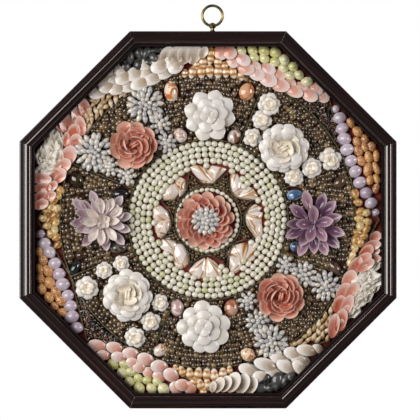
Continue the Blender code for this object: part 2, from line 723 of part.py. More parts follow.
def make_snail_beds():
    finish = material("brown_snails", "4a3a24", 0.3)
    outline = sector_outline(BED_INSET)
    places = rows_in_sector()
    dips = dips_between(places, NEIGHBOUR_REACH * SNAIL_PITCH)
    dips = [dip for dip in dips if math.hypot(*dip) > MIDDLE_CIRCLE + SNAIL_PITCH / 3]
    for i, point in enumerate(POINTS):
        height = {place: SNAIL_HEIGHT for place in places}
        if len(point) == 1:
            for out, aside in POLISHED:
                target = polar(MIDDLE_CIRCLE + out * COMPARTMENT, aside * HALF_SIDE)
                nearest = min(places, key=lambda place: math.dist(place, target))
                height[nearest] = SNAIL_HEIGHT + POLISHED_SHELL_RISE
        peaks = [(*place, height[place]) for place in places]
        dip_height = SNAIL_DIP * SNAIL_HEIGHT
        shell_bed(f"snail_bed_{point}", outline, peaks, dips, dip_height, finish, SIDE_ANGLE * i)


def corner_places(along, across):
    """Shells in rows along the two chevrons beside a corner, every other row moved by half a shell."""
    outline = corner_outline()
    rise, run = Vector(outline[3]) - Vector(outline[0])
    slope = math.atan2(rise, run)
    reach = int(APEX * math.sin(HALF_SIDE) / along) + 1
    places = []
    for row in range(int((SIGHT / math.cos(HALF_SIDE) - OUTER_CIRCLE) / across) + 1):
        from_card = BED_INSET + (row + 0.5) * across
        for i in range(-reach, reach + 1):
            y = (i + 0.5 * (row % 2)) * along
            x = OUTER_CIRCLE + (from_card + math.sin(slope) * abs(y)) / math.cos(slope)
            to_side = x * math.cos(HALF_SIDE) + abs(y) * math.sin(HALF_SIDE)
            if to_side < SIGHT - GAP - LARGE_SHELL_EDGE * across and abs(y) < run:
                places.append((x, y))
    return outline, places


def make_corner_beds():
    for i in range(SIDES):
        kind, along, across, height, colour = CORNERS[i % len(CORNERS)]
        outline, places = corner_places(along, across)
        dips = dips_between(places, NEIGHBOUR_REACH * along)
        peaks = [(*place, height) for place in places]
        finish = material(kind, colour, 0.35)
        name = f"corner_field_{i + 1}"
        angle = SIDE_ANGLE * i + HALF_SIDE
        dip_height = LARGE_SHELL_DIP * height
        shell_bed(name, stepped(outline, along), peaks, dips, dip_height, finish, angle)


def cap_places():
    """Shells in rows along the outer circle that are clear of the chevron."""
    outline = cap_outline(BED_INSET)
    places = []
    for row in range(int((APEX - OUTER_CIRCLE) / CAP_PITCH) + 1):
        radius = OUTER_CIRCLE + BED_INSET + (row + 0.5) * CAP_PITCH
        reach = int(radius * HALF_SIDE / CAP_PITCH)
        for i in range(-reach, reach + 1):
            angle = (i + 0.5 * (row % 2)) * CAP_PITCH / radius
            side = radius * math.cos(CHEVRON_SLOPE - abs(angle))
            if side < APEX * math.cos(CHEVRON_SLOPE) - BED_INSET - CAP_EDGE * CAP_PITCH:
                places.append(polar(radius, angle))
    return outline, places


def make_caps():
    outline, places = cap_places()
    dips = dips_between(places, NEIGHBOUR_REACH * CAP_PITCH)
    dips = [dip for dip in dips if edge_gap(dip, outline) > CAP_PITCH / 5]
    peaks = [(*place, CAP_HEIGHT) for place in places]
    outline = stepped(outline, CAP_STEP)
    for i, point in enumerate(POINTS):
        finish = material(f"cap_shells_{CAP_COLOURS[point]}", CAP_COLOURS[point], 0.35)
        dip_height = LARGE_SHELL_DIP * CAP_HEIGHT
        shell_bed(f"side_cap_{point}", outline, peaks, dips, dip_height, finish, SIDE_ANGLE * i)


for old in list(bpy.data.objects):
    bpy.data.objects.remove(old, do_unlink=True)
picture_centre = bpy.data.objects.new("picture_centre", None)
bpy.context.scene.collection.objects.link(picture_centre)
hook_height = hanger_height() + RING_DIAMETER / 2 - RING_WIRE
picture_centre.location = (-RING_OFFSET, RING_SETBACK, -hook_height)
picture_centre.rotation_euler = (math.pi / 2, 0.0, 0.0)

frame_rails = make_frame()
make_boards()
make_hanger(frame_rails["N"])
make_partitions()
make_middle()
make_snail_beds()
make_flowers()
make_florets()
make_sprays()
make_corner_beds()
make_caps()
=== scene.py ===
"""An octagonal picture made of whole shells, in a dark moulded frame with a brass ring.

The forms are worked out in the picture's own measures: x to the right and y up from the
middle of the octagon, z from the wall towards the viewer, all in metres.
"""

import math

import bpy
import bmesh
import numpy as np
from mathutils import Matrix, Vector
from mathutils.geometry import tessellate_polygon

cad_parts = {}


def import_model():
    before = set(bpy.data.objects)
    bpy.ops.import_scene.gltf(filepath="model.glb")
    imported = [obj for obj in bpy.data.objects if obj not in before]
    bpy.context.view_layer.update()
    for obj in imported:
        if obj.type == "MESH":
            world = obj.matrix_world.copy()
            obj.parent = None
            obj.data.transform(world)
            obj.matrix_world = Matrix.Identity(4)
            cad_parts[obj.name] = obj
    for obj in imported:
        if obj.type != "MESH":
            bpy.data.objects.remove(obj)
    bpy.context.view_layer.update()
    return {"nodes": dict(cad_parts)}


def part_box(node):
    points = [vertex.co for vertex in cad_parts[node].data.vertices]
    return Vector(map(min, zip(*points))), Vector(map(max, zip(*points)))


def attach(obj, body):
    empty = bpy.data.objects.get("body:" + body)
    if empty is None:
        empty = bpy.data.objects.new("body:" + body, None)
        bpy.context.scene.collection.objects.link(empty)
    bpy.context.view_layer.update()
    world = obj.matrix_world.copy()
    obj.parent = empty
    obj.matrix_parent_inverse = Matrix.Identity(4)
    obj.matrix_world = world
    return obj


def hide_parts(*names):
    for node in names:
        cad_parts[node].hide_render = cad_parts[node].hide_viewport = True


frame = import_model()

PIXEL = 0.000956  # metres across one pixel of the photograph
PHOTO_MIDDLE = (208.0, 219.8)  # where the photograph has the middle of the octagon
IMAGE_SIZE = 420

TURN = 2 * math.pi
SIDES = 8
HALF_SIDE = math.pi / SIDES  # half the angle that one side takes up
SIDE_ANGLE = 2 * HALF_SIDE
WIDTH = 0.3600  # across the flats of the frame
FRAME_DEPTH = 0.0340
RAIL_WIDTH = 0.0146
SIGHT = WIDTH / 2 - RAIL_WIDTH  # from the middle to a rail's inner edge
MITRE_GAP = 0.00003  # half the gap between two rails
FLOOR = 0.0126  # underside of the shells
SEAT = 0.0174  # underside of the flowers
FOOT_TOP = SEAT + 0.0012  # top of the pad under a flower
CARD_HALF = 0.0005  # half the thickness of a card strip
MIDDLE_CIRCLE = 0.0770  # radii of the two card circles
OUTER_CIRCLE = 0.1424
TINY = 1e-6
PER_METRE = 1000.0  # millimetres
MIX_A, MIX_B, MIX_RESULT = 6, 7, 2  # sockets of a Mix node for colours
WAVE_PHASE = 20.0  # what a wave texture's phase gains in one unit of length

back_low, back_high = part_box("back_board")
MIDDLE_X = (back_low.x + back_high.x) / 2
MIDDLE_Z = (back_low.z + back_high.z) / 2
WALL_Y = back_high.y


def photo(spots):
    """Pixels of the photograph, one pair or rows of them, as x and y in metres from the middle."""
    spots = np.asarray(spots, float)
    return (spots - PHOTO_MIDDLE) * (PIXEL, -PIXEL)


def world(points):
    """Picture measures to the model's: x along X, y along Z, and z from the wall along -Y."""
    return np.stack([MIDDLE_X + points[:, 0], WALL_Y - points[:, 2], MIDDLE_Z + points[:, 1]], axis=1)


def polar(radius, angle):
    """Distances and angles as x and y, a row for each angle."""
    return np.stack([radius * np.cos(angle), radius * np.sin(angle)], axis=1)


def numbers(seed):
    """A source of seeded random numbers."""
    return np.random.default_rng(seed)


def new_object(name, data):
    """An object of the data, in the scene."""
    made = bpy.data.objects.new(name, data)
    bpy.context.scene.collection.objects.link(made)
    return made


# The camera stands straight in front, as far back as a long lens needs, so that nothing converges.
LENS = 250.0
SENSOR = 36.0
FOCAL_DEPTH = 0.025
span = IMAGE_SIZE * PIXEL
camera_data = bpy.data.cameras.new("camera")
camera_data.lens = LENS
camera_data.sensor_width = SENSOR
camera = new_object("camera", camera_data)
view_middle = photo((IMAGE_SIZE / 2, IMAGE_SIZE / 2))
camera.location = (
    MIDDLE_X + view_middle[0],
    WALL_Y - FOCAL_DEPTH - span * LENS / SENSOR,
    MIDDLE_Z + view_middle[1],
)
camera.rotation_euler = (math.pi / 2, 0.0, 0.0)
bpy.context.scene.camera = camera


def linear(hex_colour):
    """An sRGB hex colour as linear red, green, blue and alpha, by the standard's own formula."""
    parts = [int(hex_colour[i : i + 2], 16) / 255 for i in (0, 2, 4)]
    return [c / 12.92 if c <= 0.04045 else ((c + 0.055) / 1.055) ** 2.4 for c in parts] + [1.0]


def add(tree, kind, inputs=None, stops=None, **settings):
    """Adds a shader node, sets what it is given, and links the inputs that are other nodes' outputs."""
    made = tree.nodes.new("ShaderNode" + kind)
    for name, value in settings.items():
        setattr(made, name, value)
    for name, value in (inputs or {}).items():
        if isinstance(value, bpy.types.NodeSocket):
            tree.links.new(value, made.inputs[name])
        else:
            made.inputs[name].default_value = value
    if stops:
        ramp = made.color_ramp.elements
        while len(ramp) < len(stops):
            ramp.new(0.5)
        for element, (place, colour) in zip(ramp, stops):
            element.position = place
            element.color = linear(colour)
    return made


def new_finish(name):
    """An empty material and its node tree."""
    made = bpy.data.materials.new(name)
    made.use_nodes = True
    made.node_tree.nodes.clear()
    return made, made.node_tree


def skin(rows, columns, shape):
    """A closed skin from shape(s, t): s goes from the top pole to the bottom one, t once round."""
    s = np.concatenate([[0.0], np.repeat(np.arange(1, rows + 1) / (rows + 1), columns), [1.0]])
    t = np.concatenate([[0.0], np.tile(np.arange(columns) * TURN / columns, rows), [0.0]])
    points, own = shape(s, t)
    ring = 1 + np.arange(rows * columns).reshape(rows, columns)
    beside = np.roll(ring, -1, axis=1)
    quads = np.stack([ring[:-1], ring[1:], beside[1:], beside[:-1]], axis=-1).reshape(-1, 4)
    last = np.full(columns, rows * columns + 1)
    ends = [np.stack([np.zeros(columns, int), ring[0], beside[0]], axis=-1)]
    ends.append(np.stack([last, beside[-1], ring[-1]], axis=-1))
    return points, quads, np.concatenate(ends), own


def tube_skin(points, own, closed_path):
    """A skin over a grid of sections (path, round, 3); open paths are closed with flat fans."""
    count, around = points.shape[:2]
    grid = np.arange(count * around).reshape(count, around)
    beside = np.roll(grid, -1, axis=1)
    following = np.roll(grid, -1, axis=0)
    far = np.roll(beside, -1, axis=0)
    if not closed_path:
        grid, beside, following, far = grid[:-1], beside[:-1], following[:-1], far[:-1]
    quads = np.stack([grid, beside, far, following], axis=-1).reshape(-1, 4)
    return points.reshape(-1, 3), quads, np.zeros((0, 3), int), own.reshape(-1, 3)


def lay(form, places, sizes, heading=0.0, pitch=0.0, roll=0.0, tone=0.5, finish=0):
    """Copies of a form set down as whole arrays.

    Each is sized, rolled about its length, tipped up at its far end, headed and moved to its place.
    """
    points, quads, ends, own = form
    places = np.atleast_2d(np.asarray(places, float))
    count = len(places)

    def column(value):
        return np.broadcast_to(np.asarray(value, float), (count,))[:, None]

    sizes = np.broadcast_to(np.asarray(sizes, float), (count, 3))
    sized = points[None] * sizes[:, None, :]
    x, y, z = sized[..., 0], sized[..., 1], sized[..., 2]
    turn = column(roll)
    y, z = y * np.cos(turn) - z * np.sin(turn), y * np.sin(turn) + z * np.cos(turn)
    turn = column(pitch)
    x, z = x * np.cos(turn) - z * np.sin(turn), x * np.sin(turn) + z * np.cos(turn)
    turn = column(heading)
    x, y = x * np.cos(turn) - y * np.sin(turn), x * np.sin(turn) + y * np.cos(turn)
    placed = np.stack([x, y, z], axis=-1) + places[:, None, :]
    step = (np.arange(count) * len(points))[:, None, None]
    tones = np.repeat(np.broadcast_to(np.asarray(tone, float), (count,)), len(points))
    return (
        placed.reshape(-1, 3),
        (quads[None] + step).reshape(-1, 4),
        (ends[None] + step).reshape(-1, 3),
        np.tile(own, (count, 1)),
        tones,
        finish,
    )


def whole(form, tone, finish=0):
    """A form that stays where it was made, all of one tone."""
    return (*form, np.full(len(form[0]), tone), finish)


def gather(name, parts, finishes, replaced):
    """One smooth mesh of all parts, with the shells' own coordinates and tones as attributes."""
    starts = np.cumsum([0] + [len(part[0]) for part in parts])
    points = world(np.concatenate([part[0] for part in parts]))
    quads = np.concatenate([part[1] + start for part, start in zip(parts, starts)]).reshape(-1, 4)
    ends = np.concatenate([part[2] + start for part, start in zip(parts, starts)]).reshape(-1, 3)
    finish_numbers = [np.full(len(part[faces]), part[5]) for faces in (1, 2) for part in parts]
    mesh = bpy.data.meshes.new(name)
    mesh.vertices.add(len(points))
    mesh.vertices.foreach_set("co", points.astype(np.float32).ravel())
    corners = np.concatenate([quads.ravel(), ends.ravel()])
    mesh.loops.add(len(corners))
    mesh.loops.foreach_set("vertex_index", corners.astype(np.int32))
    sides = np.concatenate([np.full(len(quads), 4), np.full(len(ends), 3)])
    mesh.polygons.add(len(sides))
    mesh.polygons.foreach_set("loop_start", (np.cumsum(sides) - sides).astype(np.int32))
    mesh.polygons.foreach_set("material_index", np.concatenate(finish_numbers).astype(np.int32))
    mesh.polygons.foreach_set("use_smooth", np.ones(len(sides), bool))
    mesh.update(calc_edges=True)
    own = mesh.attributes.new("own", "FLOAT_VECTOR", "POINT")
    own_places = np.concatenate([part[3] for part in parts]).astype(np.float32)
    own.data.foreach_set("vector", own_places.ravel())
    tone = mesh.attributes.new("tone", "FLOAT", "POINT")
    tone.data.foreach_set("value", np.concatenate([part[4] for part in parts]).astype(np.float32))
    for finish in finishes:
        mesh.materials.append(finish)
    made = new_object(name, mesh)
    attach(made, "root")
    if replaced:
        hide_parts(*replaced)
    return made


def shell_finish(
    name, tones, inside=None, lines=None, mottle=None, rim=None, root=None, rough=0.3, coat=0.3, bump=0.15
):
    """Real shell: lime with a horny or pearly face, coloured by each shell's own tone.

    inside is (colour, share) where the third own number is high: the hollow side of a valve, painted
    shade in a frilled oyster's low places and a painted highlight on a whelk's knobs; lines is
    (count, colour, share) for growth lines; mottle is (size in mm, colour, share) for blotches; rim
    and root are (colour, share) at the lip and at the hinge, and a third value says how far from
    the hinge its colour reaches. The root colour is partly the shell's own colour at the hinge and
    partly painted shade where a neighbour lies over it.
    """
    made, tree = new_finish(name)
    tone = add(tree, "Attribute", attribute_name="tone")
    own = add(tree, "Attribute", attribute_name="own")
    across = add(tree, "SeparateXYZ", {"Vector": own.outputs["Vector"]})
    place = add(tree, "TexCoord")
    colour = add(tree, "ValToRGB", {"Fac": tone.outputs["Fac"]}, stops=tones).outputs["Color"]
    height = None

    def blend(share, hex_colour):
        mixed = add(tree, "Mix", {"Factor": share, MIX_A: colour}, data_type="RGBA")
        mixed.inputs[MIX_B].default_value = linear(hex_colour)
        return mixed.outputs[MIX_RESULT]

    def times(value, factor):
        scaled = add(tree, "Math", {0: value, 1: factor}, operation="MULTIPLY", use_clamp=True)
        return scaled.outputs["Value"]

    if mottle:
        size, hex_colour, share = mottle
        noise = add(
            tree, "TexNoise",
            {"Vector": place.outputs["Object"], "Scale": PER_METRE / size, "Detail": 3.0},
        )
        spread = add(
            tree, "MapRange",
            {"Value": noise.outputs["Fac"], "From Min": 0.45, "From Max": 0.62, "To Max": share},
        )
        colour = blend(spread.outputs["Result"], hex_colour)
        height = noise.outputs["Fac"]
    if lines:
        count, hex_colour, share = lines
        wave = add(
            tree, "TexWave",
            {"Vector": own.outputs["Vector"], "Scale": count * TURN / WAVE_PHASE, "Distortion": 0.8,
             "Detail": 2.0},
            wave_profile="SIN",
        )
        colour = blend(times(wave.outputs["Fac"], share), hex_colour)
        height = wave.outputs["Fac"]
    # For a frilled oyster the third own number marks its low places, so this paints shade there; for a
    # whelk it marks the knobs' tops, so this paints a highlight.
    if inside:
        hex_colour, share = inside
        colour = blend(times(across.outputs["Z"], share), hex_colour)
    # Painted shade: the root colour darkens each shell from the hinge, partly the shell's own colour there
    # and partly shade where a neighbour lies over it.
    if root:
        hex_colour, share, reach = root
        hinge = add(
            tree, "MapRange",
            {"Value": across.outputs["X"], "From Min": reach, "From Max": reach - 0.45, "To Max": share},
        )
        colour = blend(hinge.outputs["Result"], hex_colour)
    if rim:
        hex_colour, share = rim
        lip = add(
            tree, "MapRange",
            {"Value": across.outputs["X"], "From Min": 0.70, "From Max": 1.0, "To Max": share},
        )
        colour = blend(lip.outputs["Result"], hex_colour)
    surface = add(
        tree, "BsdfPrincipled",
        {"Base Color": colour, "Roughness": rough, "IOR": 1.53, "Coat Weight": coat,
         "Coat Roughness": 0.08},
    )
    if height is not None and bump:
        relief = add(tree, "Bump", {"Strength": bump, "Distance": 0.0003, "Height": height})
        tree.links.new(relief.outputs["Normal"], surface.inputs["Normal"])
    add(tree, "OutputMaterial", {"Surface": surface.outputs["BSDF"]})
    return made


def ovoid_form(rows, columns, point=0.0, blunt=0.0, almond=1.0):
    """An egg along x from 0 to 1 and half as far across.

    Its girth is the sine of the angle, raised to the power almond, which points both ends, and
    drawn in at the tip.
    """

    def shape(s, t):
        angle = math.pi * s
        x = 0.5 - 0.5 * np.cos(angle)
        girth = 0.5 * np.sin(angle) ** almond * (1.0 - point * x**2) * (1.0 - blunt * (1.0 - x) ** 2)
        quarter_on = t + math.pi / 2
        return (
            np.stack([x, girth * np.cos(quarter_on), -girth * np.sin(quarter_on)], axis=1),
            np.stack([x, t / TURN, np.zeros_like(t)], axis=1),
        )

    return skin(rows, columns, shape)


def turban_form(rows, columns, spire=0.30, step=0.16, groove=0.0):
    """A low turban: a ball with a spire and a whorl's groove, whose radius grows by a step once round."""

    def shape(s, t):
        angle = math.pi * s
        furrow = 1.0 - groove * np.exp(-(((s - 0.30) / 0.05) ** 2))
        radius = 0.5 * np.sin(angle) ** 0.9 * (1.0 - step / 2 + step * t / TURN) * furrow
        height = 0.5 + 0.5 * np.cos(angle) + spire * np.exp(-((s / 0.16) ** 2))
        return (
            np.stack([radius * np.cos(t), radius * np.sin(t), height], axis=1),
            np.stack([s + 0.10 * t / TURN, t / TURN, np.zeros_like(t)], axis=1),
        )

    return skin(rows, columns, shape)


def valve_form(
    rows, columns, wide=0.75, deep=0.28, tip=0.0, hinge=0.0, thick=0.035, peak=0.38, full=0.7, sharp=0.0,
    waves=(0, 0.0),
):
    """One valve, hinge at 0 and lip at 1 along x, domed upwards with a hollow underneath.

    Its outline is an ellipse drawn in at the tip and the hinge, with waves round the lip; sharp
    raises its half width to a higher power towards the lip, which brings it to a point. Scaled
    down about its peak it gives the rings, whose height is the depth times (1 - share squared)
    to a power: a low one is a full bowl, one above 1 a flat dish. The hollow is the same less
    the thickness.
    """

    def shape(s, t):
        share = np.sin(math.pi * s)
        edge_x = 0.5 - 0.5 * np.cos(t)
        girth = np.sign(np.sin(t)) * np.abs(np.sin(t)) ** (1.0 + sharp * edge_x)
        edge_y = -0.5 * wide * girth * (1.0 - tip * edge_x**3) * (1.0 - hinge * (1.0 - edge_x) ** 2)
        ruffle = 1.0 + waves[1] * np.cos(waves[0] * t) * share**3
        x = peak + share * ruffle * (edge_x - peak)
        y = share * ruffle * edge_y
        fall = np.clip(1.0 - share**2, 0.0, 1.0) ** full
        under = s > 0.5 + TINY
        z = deep * fall - np.where(under, thick * np.clip(3.0 * (1.0 - share), 0.0, 1.0), 0.0)
        growth = (x**2 + (y / wide) ** 2) / np.maximum(x, 0.02)
        fan = np.arctan2(y / wide, x + 0.02)
        return (
            np.stack([x, y, z], axis=1),
            np.stack([np.clip(growth, 0.0, 1.1), fan, np.clip((s - 0.46) * 10.0, 0.0, 1.0)], axis=1),
        )

    return skin(rows, columns, shape)


def pillow(outline, base, top, edge=0.55, rows=7, crown=0.55, grow=1.0):
    """A solid over an anticlockwise outline of (x, y) points, whose height falls from crown to edge.

    Corners are cut round, so that grow can make up for what that takes off.
    """
    outline = np.asarray(outline, float)
    following = np.roll(outline, -1, axis=0)
    steps = (0.12, 0.5, 0.88)
    rounded = np.concatenate([(1.0 - step) * outline + step * following for step in steps], axis=1)
    outline = rounded.reshape(-1, 2)
    middle = outline.mean(axis=0)
    columns = len(outline)

    def shape(s, t):
        share = np.minimum(np.sin(math.pi * np.minimum(s, 0.5)), 1.0)
        under = np.clip((s - 0.5) * 2.0, 0.0, 1.0)
        share = share * (1.0 - under * 0.9)
        index = np.round(t * columns / TURN).astype(int) % columns
        spot = middle + grow * share[:, None] * (outline[index] - middle)
        fall = np.clip(1.0 - share ** (1.0 / crown), 0.0, 1.0) ** edge
        z = np.where(s > 0.5 + TINY, base, base + (top - base) * (0.25 + 0.75 * fall))
        z = np.where(np.abs(s - 0.5) < TINY, base + 0.25 * (top - base), z)
        x, y = spot.T
        return np.stack([x, y, z], axis=1), np.stack([x, y, share], axis=1)

    return skin(rows, columns, shape)


# Brown snails: glossy, thin, horn-brown, so that each throws two small sharp lights.
BROWN_SNAIL = shell_finish(
    "brown_snail_shell", [(0.0, "2b1f14"), (0.35, "4f3d27"), (0.7, "705a3a"), (1.0, "a38a5c")],
    lines=(2.6, "1d140c", 0.45), rough=0.18, coat=1.0,
)
# Pale green bead shells: satin, like unglazed porcelain with a trace of green.
GREEN_BEAD = shell_finish(
    "green_bead_shell", [(0.0, "b3bd7c"), (0.16, "cccfa8"), (0.45, "dcdbc6"), (1.0, "ebe9df")],
    mottle=(2.5, "cfd0a8", 0.35), rough=0.28, coat=0.45,
)
# Rice shells: small, hard, blue-white and polished by the sea, with painted grey shade towards the inner
# end where they crowd together.
RICE = shell_finish(
    "rice_shell", [(0.0, "aeb0b2"), (0.35, "c4c4c2"), (0.75, "d8d5cd"), (1.0, "e4dccb")],
    mottle=(3.0, "c6c6c5", 0.4), root=("858480", 0.6, 0.55), rough=0.20, coat=0.7,
)
# White cup shells of the flowers and florets: matt bone white, with painted warm shade towards the hinge,
# where one lies under the next.
WHITE_SHELL = shell_finish(
    "white_cup_shell", [(0.0, "c9beac"), (0.3, "dad4c9"), (0.7, "e5e2dc"), (1.0, "e3e3e2")],
    inside=("ddd6c9", 0.6), lines=(4.0, "cbc3b7", 0.25), rim=("f2f0ec", 0.7), root=("aba08e", 0.6, 0.60),
    rough=0.34, coat=0.25, bump=0.2,
)
# Cream inner petals of the white roses: the same shell, yellower in its hollow.
CREAM_SHELL = shell_finish(
    "cream_cup_shell", [(0.0, "eadfc6"), (0.4, "f3ead8"), (1.0, "f7f1e4")], inside=("f2e9d6", 0.4),
    lines=(4.0, "e4d6ba", 0.10), rim=("f6f0e2", 0.6), rough=0.34, coat=0.2,
)
# Salmon tellins: thin, satin, orange-pink, with deeper red where light comes through layers.
SALMON = shell_finish(
    "salmon_tellin_shell",
    [(0.0, "a62c18"), (0.22, "cf6a50"), (0.5, "df8d76"), (0.8, "eab39d"), (1.0, "f3d9bf")],
    inside=("d08a78", 0.3), rim=("f7dccb", 0.9), root=("b0432b", 0.55, 0.60), lines=(5.0, "c27563", 0.25),
    rough=0.28, coat=0.4,
)
# Pink tellins: paler, with a pearly white lip, and deeper pink towards the hinge, partly their own colour
# and partly painted shade where the next one overlaps.
PINK_SHELL = shell_finish(
    "pink_tellin_shell", [(0.0, "dda792"), (0.35, "e4bdb0"), (0.7, "e7ccc5"), (1.0, "e7d9d8")],
    inside=("dfa78f", 0.5), rim=("f8eee8", 0.85), root=("cc8168", 0.75, 0.75),
    lines=(4.0, "d59c88", 0.30), rough=0.24, coat=0.5,
)
# Salmon clams of two corners, hollow side up: soft salmon, redder towards the hinge, partly their own
# colour and partly painted shade where the next one overlaps, with pale lips.
CORAL_CLAM = shell_finish(
    "coral_clam_shell", [(0.0, "c9552f"), (0.2, "d87c62"), (0.55, "e0a191"), (1.0, "e9c6bb")],
    inside=("dc9078", 0.35), rim=("f9e6dc", 0.9), root=("c0634a", 0.60, 0.72),
    lines=(4.0, "c97c66", 0.35), rough=0.26, coat=0.45,
)
# White clams: chalky outside with fine growth lines and cream in the hollow, with painted brown-grey shade
# from the hinge, where the next one lies over it.
CLAM = shell_finish(
    "white_clam_shell", [(0.0, "dacfbe"), (0.3, "e8e1d7"), (0.7, "f0ece6"), (1.0, "f1edeb")],
    inside=("e6dccb", 0.6), rim=("faf8f5", 0.9), root=("a08c6e", 0.80, 0.86), lines=(4.0, "c9bba4", 0.25),
    rough=0.30, coat=0.4, bump=0.3,
)
# The same clams set hollow side up in a fan, with a brown shade deep in each hollow.
FAN_CLAM = shell_finish(
    "hollow_clam_shell", [(0.0, "e4dccf"), (1.0, "f0ebe3")], inside=("e2d8c8", 0.4), rim=("faf8f5", 0.95),
    root=("937d64", 0.80, 0.76), rough=0.30, coat=0.4, bump=0.3,
)
# Mussels: slate blue-black, horny and glossy.
MUSSEL = shell_finish(
    "mussel_shell", [(0.0, "17191a"), (0.5, "303536"), (1.0, "4e5555")], mottle=(4.0, "77746f", 0.5),
    lines=(3.0, "42474a", 0.25), rough=0.28, coat=0.5,
)
# Frilled oyster valves: chalk white layers, with painted olive-grey shade in the hollows under each frill.
FRILLED = shell_finish(
    "frilled_oyster_shell", [(0.0, "e0dbcf"), (0.5, "e8e4da"), (1.0, "f0ece4")],
    mottle=(5.0, "cdc4ac", 0.35), inside=("857550", 0.85), rough=0.42, coat=0.2, bump=0.5,
)
# Purple nerites: milky lilac, smooth as glazed china.
PURPLE_NERITE = shell_finish(
    "purple_nerite_shell", [(0.0, "b09fb8"), (0.5, "c6bac9"), (1.0, "dad2db")],
    mottle=(6.0, "e6e0e7", 0.5), lines=(3.0, "9a84a1", 0.25), rough=0.22, coat=0.6,
)
# Yellow-green nerites: lime yellow in pale blotches, smooth with a soft gloss.
GREEN_NERITE = shell_finish(
    "yellow_green_nerite_shell", [(0.0, "c2bf66"), (0.45, "dad98c"), (1.0, "ecebc4")],
    mottle=(4.0, "f4f2d6", 0.65), lines=(3.0, "a39f4a", 0.40), rough=0.24, coat=0.55,
)
# Orange granular snails: rough with fine beading.
ORANGE_OVAL = shell_finish(
    "orange_granular_shell", [(0.0, "984c1a"), (0.45, "b66a2b"), (1.0, "cd8c46")],
    mottle=(1.2, "f2d6a4", 0.80), rough=0.35, coat=0.3, bump=0.8,
)
# Golden dog whelks: honey-yellow, knobbed and glossy, with a painted pale highlight on the knobs' tops and
# painted shade towards the broad end.
GOLDEN = shell_finish(
    "golden_whelk_shell", [(0.0, "9c6218"), (0.3, "c48e3a"), (0.7, "e0bd72"), (1.0, "f2e1b2")],
    inside=("f6eac4", 0.6), lines=(3.0, "8a5816", 0.40), root=("6a410f", 0.5, 0.55), rough=0.24, coat=0.6,
    bump=0.5,
)
# Banded periwinkles: cream with honey-brown turns and a white tip.
BANDED = shell_finish(
    "banded_shell", [(0.0, "e4c994"), (1.0, "f1e6cc")], lines=(2.3, "b06c1a", 0.95), rim=("f8f2e6", 1.0),
    rough=0.24, coat=0.55,
)
# Straw shells: dull cream-gold worn cone tips, with painted brown shade towards the broad end.
STRAW = shell_finish(
    "straw_cone_shell", [(0.0, "9c7a46"), (0.4, "cbb186"), (1.0, "efe4ca")], lines=(2.0, "8f6d38", 0.35),
    mottle=(3.0, "efe4c8", 0.4), root=("7a5a2c", 0.6, 0.55), rough=0.36, coat=0.2,
)
# Crumb: black slivers of mussel with orange bits and pale ones, the pale ones partly pale crumbs and partly
# painted glints.
CRUMB = shell_finish(
    "mussel_crumb",
    [(0.0, "0f0c0b"), (0.62, "1c1714"), (0.72, "7a5a2c"), (0.84, "a0562c"), (0.94, "d9c4ae"),
     (1.0, "efe6da")],
    rough=0.25, coat=0.5,
)
# Purple mussels of the right flower: violet inside, near black at the hinge, with a pale worn lip.
PURPLE_PETAL = shell_finish(
    "purple_mussel_shell", [(0.0, "4c2c4c"), (0.4, "7a5473"), (0.75, "a87f92"), (1.0, "cdabb3")],
    inside=("7a5474", 0.35), rim=("e6d2d8", 0.9), root=("2c1a2c", 0.9, 0.55), lines=(3.0, "6a4866", 0.35),
    rough=0.26, coat=0.4,
)
# Lilac mussels round the left flower: grey-pink, worn pale, with a dark hinge.
LILAC_PETAL = shell_finish(
    "lilac_mussel_shell", [(0.0, "a07b89"), (0.3, "b79ca5"), (0.6, "d0c1c6"), (1.0, "e7dfdf")],
    inside=("8a6680", 0.15), rim=("f3ebea", 0.85), root=("5f3c56", 0.65, 0.50),
    lines=(3.0, "97788c", 0.3), rough=0.28, coat=0.35,
)
# Cream mussels in that flower's middle: off-white, pink-brown at the hinge.
CREAM_PETAL = shell_finish(
    "cream_mussel_shell", [(0.0, "dccabf"), (0.5, "ebe3da"), (1.0, "f3eee7")], inside=("e6dad0", 0.4),
    rim=("f6f2ec", 0.7), root=("b08a86", 0.55, 0.50), lines=(3.0, "c4a89c", 0.3), rough=0.30, coat=0.3,
)


def with_material(node, finish):
    """Gives a CAD node its finish."""
    shown = frame["nodes"][node]
    shown.data.materials.clear()
    shown.data.materials.append(finish)


def hardwood():
    """Polished dark rosewood: near-black with red streaks along each rail, under a clear French polish."""
    made, tree = new_finish("polished_rosewood")
    own = add(tree, "Attribute", attribute_name="own")
    # Grain streaks about 0.6 mm across and 50 mm long.
    stretched = add(
        tree, "VectorMath", {0: own.outputs["Vector"], 1: (14.0, 900.0, 7.0)}, operation="MULTIPLY"
    )
    grain = add(
        tree, "TexNoise",
        {"Vector": stretched.outputs["Vector"], "Scale": 1.0, "Detail": 5.0, "Roughness": 0.6},
    )
    wood = add(
        tree, "ValToRGB", {"Fac": grain.outputs["Fac"]},
        stops=[(0.36, "0b0505"), (0.52, "1c0b0b"), (0.64, "34140f"), (0.78, "5c2618")],
    )
    surface = add(
        tree, "BsdfPrincipled",
        {"Base Color": wood.outputs["Color"], "Roughness": 0.50, "IOR": 1.5, "Specular IOR Level": 0.0,
         "Coat Weight": 1.0, "Coat Roughness": 0.11, "Coat IOR": 1.85},
    )
    add(tree, "OutputMaterial", {"Surface": surface.outputs["BSDF"]})
    return made


def aged_brass():
    """Aged brass: olive-gold, browner where the tarnish is thick."""
    made, tree = new_finish("aged_brass")
    place = add(tree, "TexCoord")
    tarnish = add(tree, "TexNoise", {"Vector": place.outputs["Object"], "Scale": 350.0, "Detail": 3.0})
    colour = add(
        tree, "ValToRGB", {"Fac": tarnish.outputs["Fac"]},
        stops=[(0.35, "5d4f2a"), (0.55, "9a8a55"), (0.7, "c9bb85")],
    )
    surface = add(
        tree, "BsdfPrincipled",
        {"Base Color": colour.outputs["Color"], "Metallic": 1.0, "Roughness": 0.34},
    )
    add(tree, "OutputMaterial", {"Surface": surface.outputs["BSDF"]})
    return made


